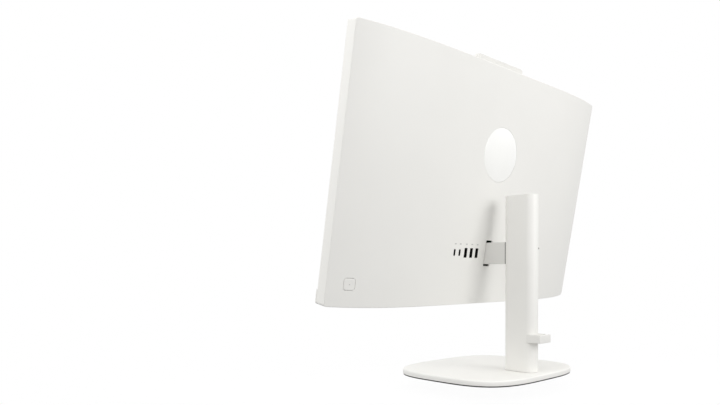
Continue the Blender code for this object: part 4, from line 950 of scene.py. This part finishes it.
def make_clip():
    """The cable clip: a grip on the column's rear and a loop with a mouth at one side."""
    low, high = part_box("cable_clip")
    column_low, column_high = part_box("stand_column")
    half = high.x

    def section(inset):
        points = [(-half + inset, CLIP_GRIP_FRONT + inset), (half - inset, CLIP_GRIP_FRONT + inset)]
        centre = (half - CLIP_CORNER, high.y - CLIP_CORNER)
        points += arc(centre, CLIP_CORNER - inset, 0, pi / 2)
        return points + arc((-centre[0], centre[1]), CLIP_CORNER - inset, pi / 2, pi)

    body = bar("Z", section, low.z, high.z, CLIP_EDGE)
    below = low.z - CLIP_WALL
    above = high.z + CLIP_WALL
    middle = (0, (column_low.y + column_high.y) / 2)
    grown = stadium(middle, column_high.x - column_low.x + 2 * PORT_GAP,
                    column_high.y - column_low.y + 2 * PORT_GAP)
    loop_front = column_high.y + PORT_GAP + CLIP_WALL
    loop_half = half - CLIP_WALL
    loop_rear = high.y - CLIP_WALL
    loop = rounded_rectangle((-loop_half, loop_front), (loop_half, loop_rear), CLIP_WALL)
    mouth_rear = loop_rear - CLIP_WALL / 2
    cuts = [loft([lay("Z", outline, below), lay("Z", outline, above)]) for outline in (grown, loop)]
    cuts.append(block((-half - CLIP_WALL, mouth_rear - CLIP_MOUTH, below),
                      (CLIP_WALL - loop_half, mouth_rear, above), 0))
    piece("clip_loop", carved(body, *cuts), finishes["pale"], "stand", ["cable_clip"])


def finish_frame():
    """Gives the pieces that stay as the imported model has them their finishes."""
    # The nickel slot takes the near-black steel, painted shade of the socket mouths.
    by_slot = {"shell_white": "shell", "shell_grey": "arm", "gloss_white": "badge", "painted_steel": "base",
               "black_plastic": "black", "grey_plastic": "grey", "dark_glass": "glass", "rubber": "rubber",
               "steel": "steel", "nickel": "dark_nickel", "aluminium": "aluminium", "copper": "copper",
               "circuit_board": "board"}
    for part in frame["record"]["subparts"]:
        mesh = nodes[part["node"]].data
        mesh.materials.clear()
        mesh.materials.append(finishes[by_slot[part["material_slot"]]])


def spread(given, wanted):
    """The inputs of a node that maps one range of values to another."""
    return {"From Min": given[0], "From Max": given[1], "To Min": wanted[0], "To Max": wanted[1]}


def make_world():
    """A world that is seen and mirrored as white, and lights more from above than from below."""
    world = bpy.data.worlds.new("studio")
    bpy.context.scene.world = world
    world.use_nodes = True
    tree = world.node_tree
    tree.nodes.clear()
    ray = add_node(tree, "ShaderNodeLightPath").outputs
    seen = add_node(tree, "ShaderNodeMath", links={0: ray["Is Camera Ray"], 1: ray["Is Glossy Ray"]},
                    operation="MAXIMUM")
    seen = add_node(tree, "ShaderNodeMath", links={0: seen.outputs[0], 1: ray["Is Transmission Ray"]},
                    operation="MAXIMUM")
    way = add_node(tree, "ShaderNodeSeparateXYZ",
                   links={"Vector": add_node(tree, "ShaderNodeTexCoord").outputs["Generated"]})
    level = add_node(tree, "ShaderNodeMapRange", spread(FILL_HEIGHTS, FILL_STRENGTHS),
                     {"Value": way.outputs["Z"]})
    fill = add_node(tree, "ShaderNodeBackground", {"Color": linear("FFFFFF")}, {"Strength": level.outputs[0]})
    white = add_node(tree, "ShaderNodeBackground", {"Color": linear("FFFFFF"), "Strength": 1.0})
    mixed = add_node(tree, "ShaderNodeMixShader",
                     links={0: seen.outputs[0], 1: fill.outputs[0], 2: white.outputs[0]})
    add_node(tree, "ShaderNodeOutputWorld", links={"Surface": mixed.outputs[0]})


def make_floor():
    """A white floor that keeps the object's shadow and clears with distance."""
    round_floor = circle((0, 0), FLOOR_RADIUS)
    floor = loose_object("floor", loft([lay("Z", round_floor, -FLOOR_THICKNESS), lay("Z", round_floor, 0)]))
    paint, tree, shader = material("studio_floor_paint", 0.9)
    shader.inputs["Base Color"].default_value = linear("FFFFFF")
    shader.inputs["Specular IOR Level"].default_value = 0.0
    place = add_node(tree, "ShaderNodeTexCoord").outputs["Object"]
    reach = add_node(tree, "ShaderNodeVectorMath", links={0: place}, operation="LENGTH")
    fade = add_node(tree, "ShaderNodeMapRange", spread(FLOOR_REACH, FLOOR_CLEARNESS),
                    {"Value": reach.outputs["Value"]})
    clear = add_node(tree, "ShaderNodeBsdfTransparent")
    faded = add_node(tree, "ShaderNodeMixShader",
                     links={0: fade.outputs[0], 1: shader.outputs[0], 2: clear.outputs[0]})
    tree.links.new(faded.outputs[0], tree.nodes["Material Output"].inputs["Surface"])
    floor.data.materials.append(paint)


def add_lamp(name, place, target, size, power):
    """A soft lamp that looks at its target."""
    lamp = bpy.data.lights.new(name, "AREA")
    lamp.shape = "RECTANGLE"
    lamp.size, lamp.size_y = size
    lamp.energy = power
    holder = bpy.data.objects.new(name, lamp)
    holder.location = place
    holder.rotation_euler = (Vector(target) - Vector(place)).to_track_quat("-Z", "Y").to_euler()
    bpy.context.scene.collection.objects.link(holder)


def make_camera():
    camera = bpy.data.cameras.new("camera")
    camera.sensor_width = SENSOR_WIDTH
    camera.lens = LENS_LENGTH
    camera.shift_x, camera.shift_y = VIEW_SHIFT
    holder = bpy.data.objects.new("camera", camera)
    holder.location = VIEW_PLACE
    holder.rotation_euler = Vector(VIEW_WAY).to_track_quat("-Z", "Y").to_euler()
    bpy.context.scene.collection.objects.link(holder)
    bpy.context.scene.camera = holder


finishes = make_finishes()
rows = row_tree()
finish_frame()
make_cover()
make_badge()
make_button()
make_sockets()
make_marks()
make_camera_bar()
make_chin()
make_bezel()
make_column()
make_arm()
make_base()
make_clip()
make_world()
make_floor()
for lamp in LAMPS:
    add_lamp(*lamp)
make_camera()
bpy.context.scene.view_settings.view_transform = "Standard"
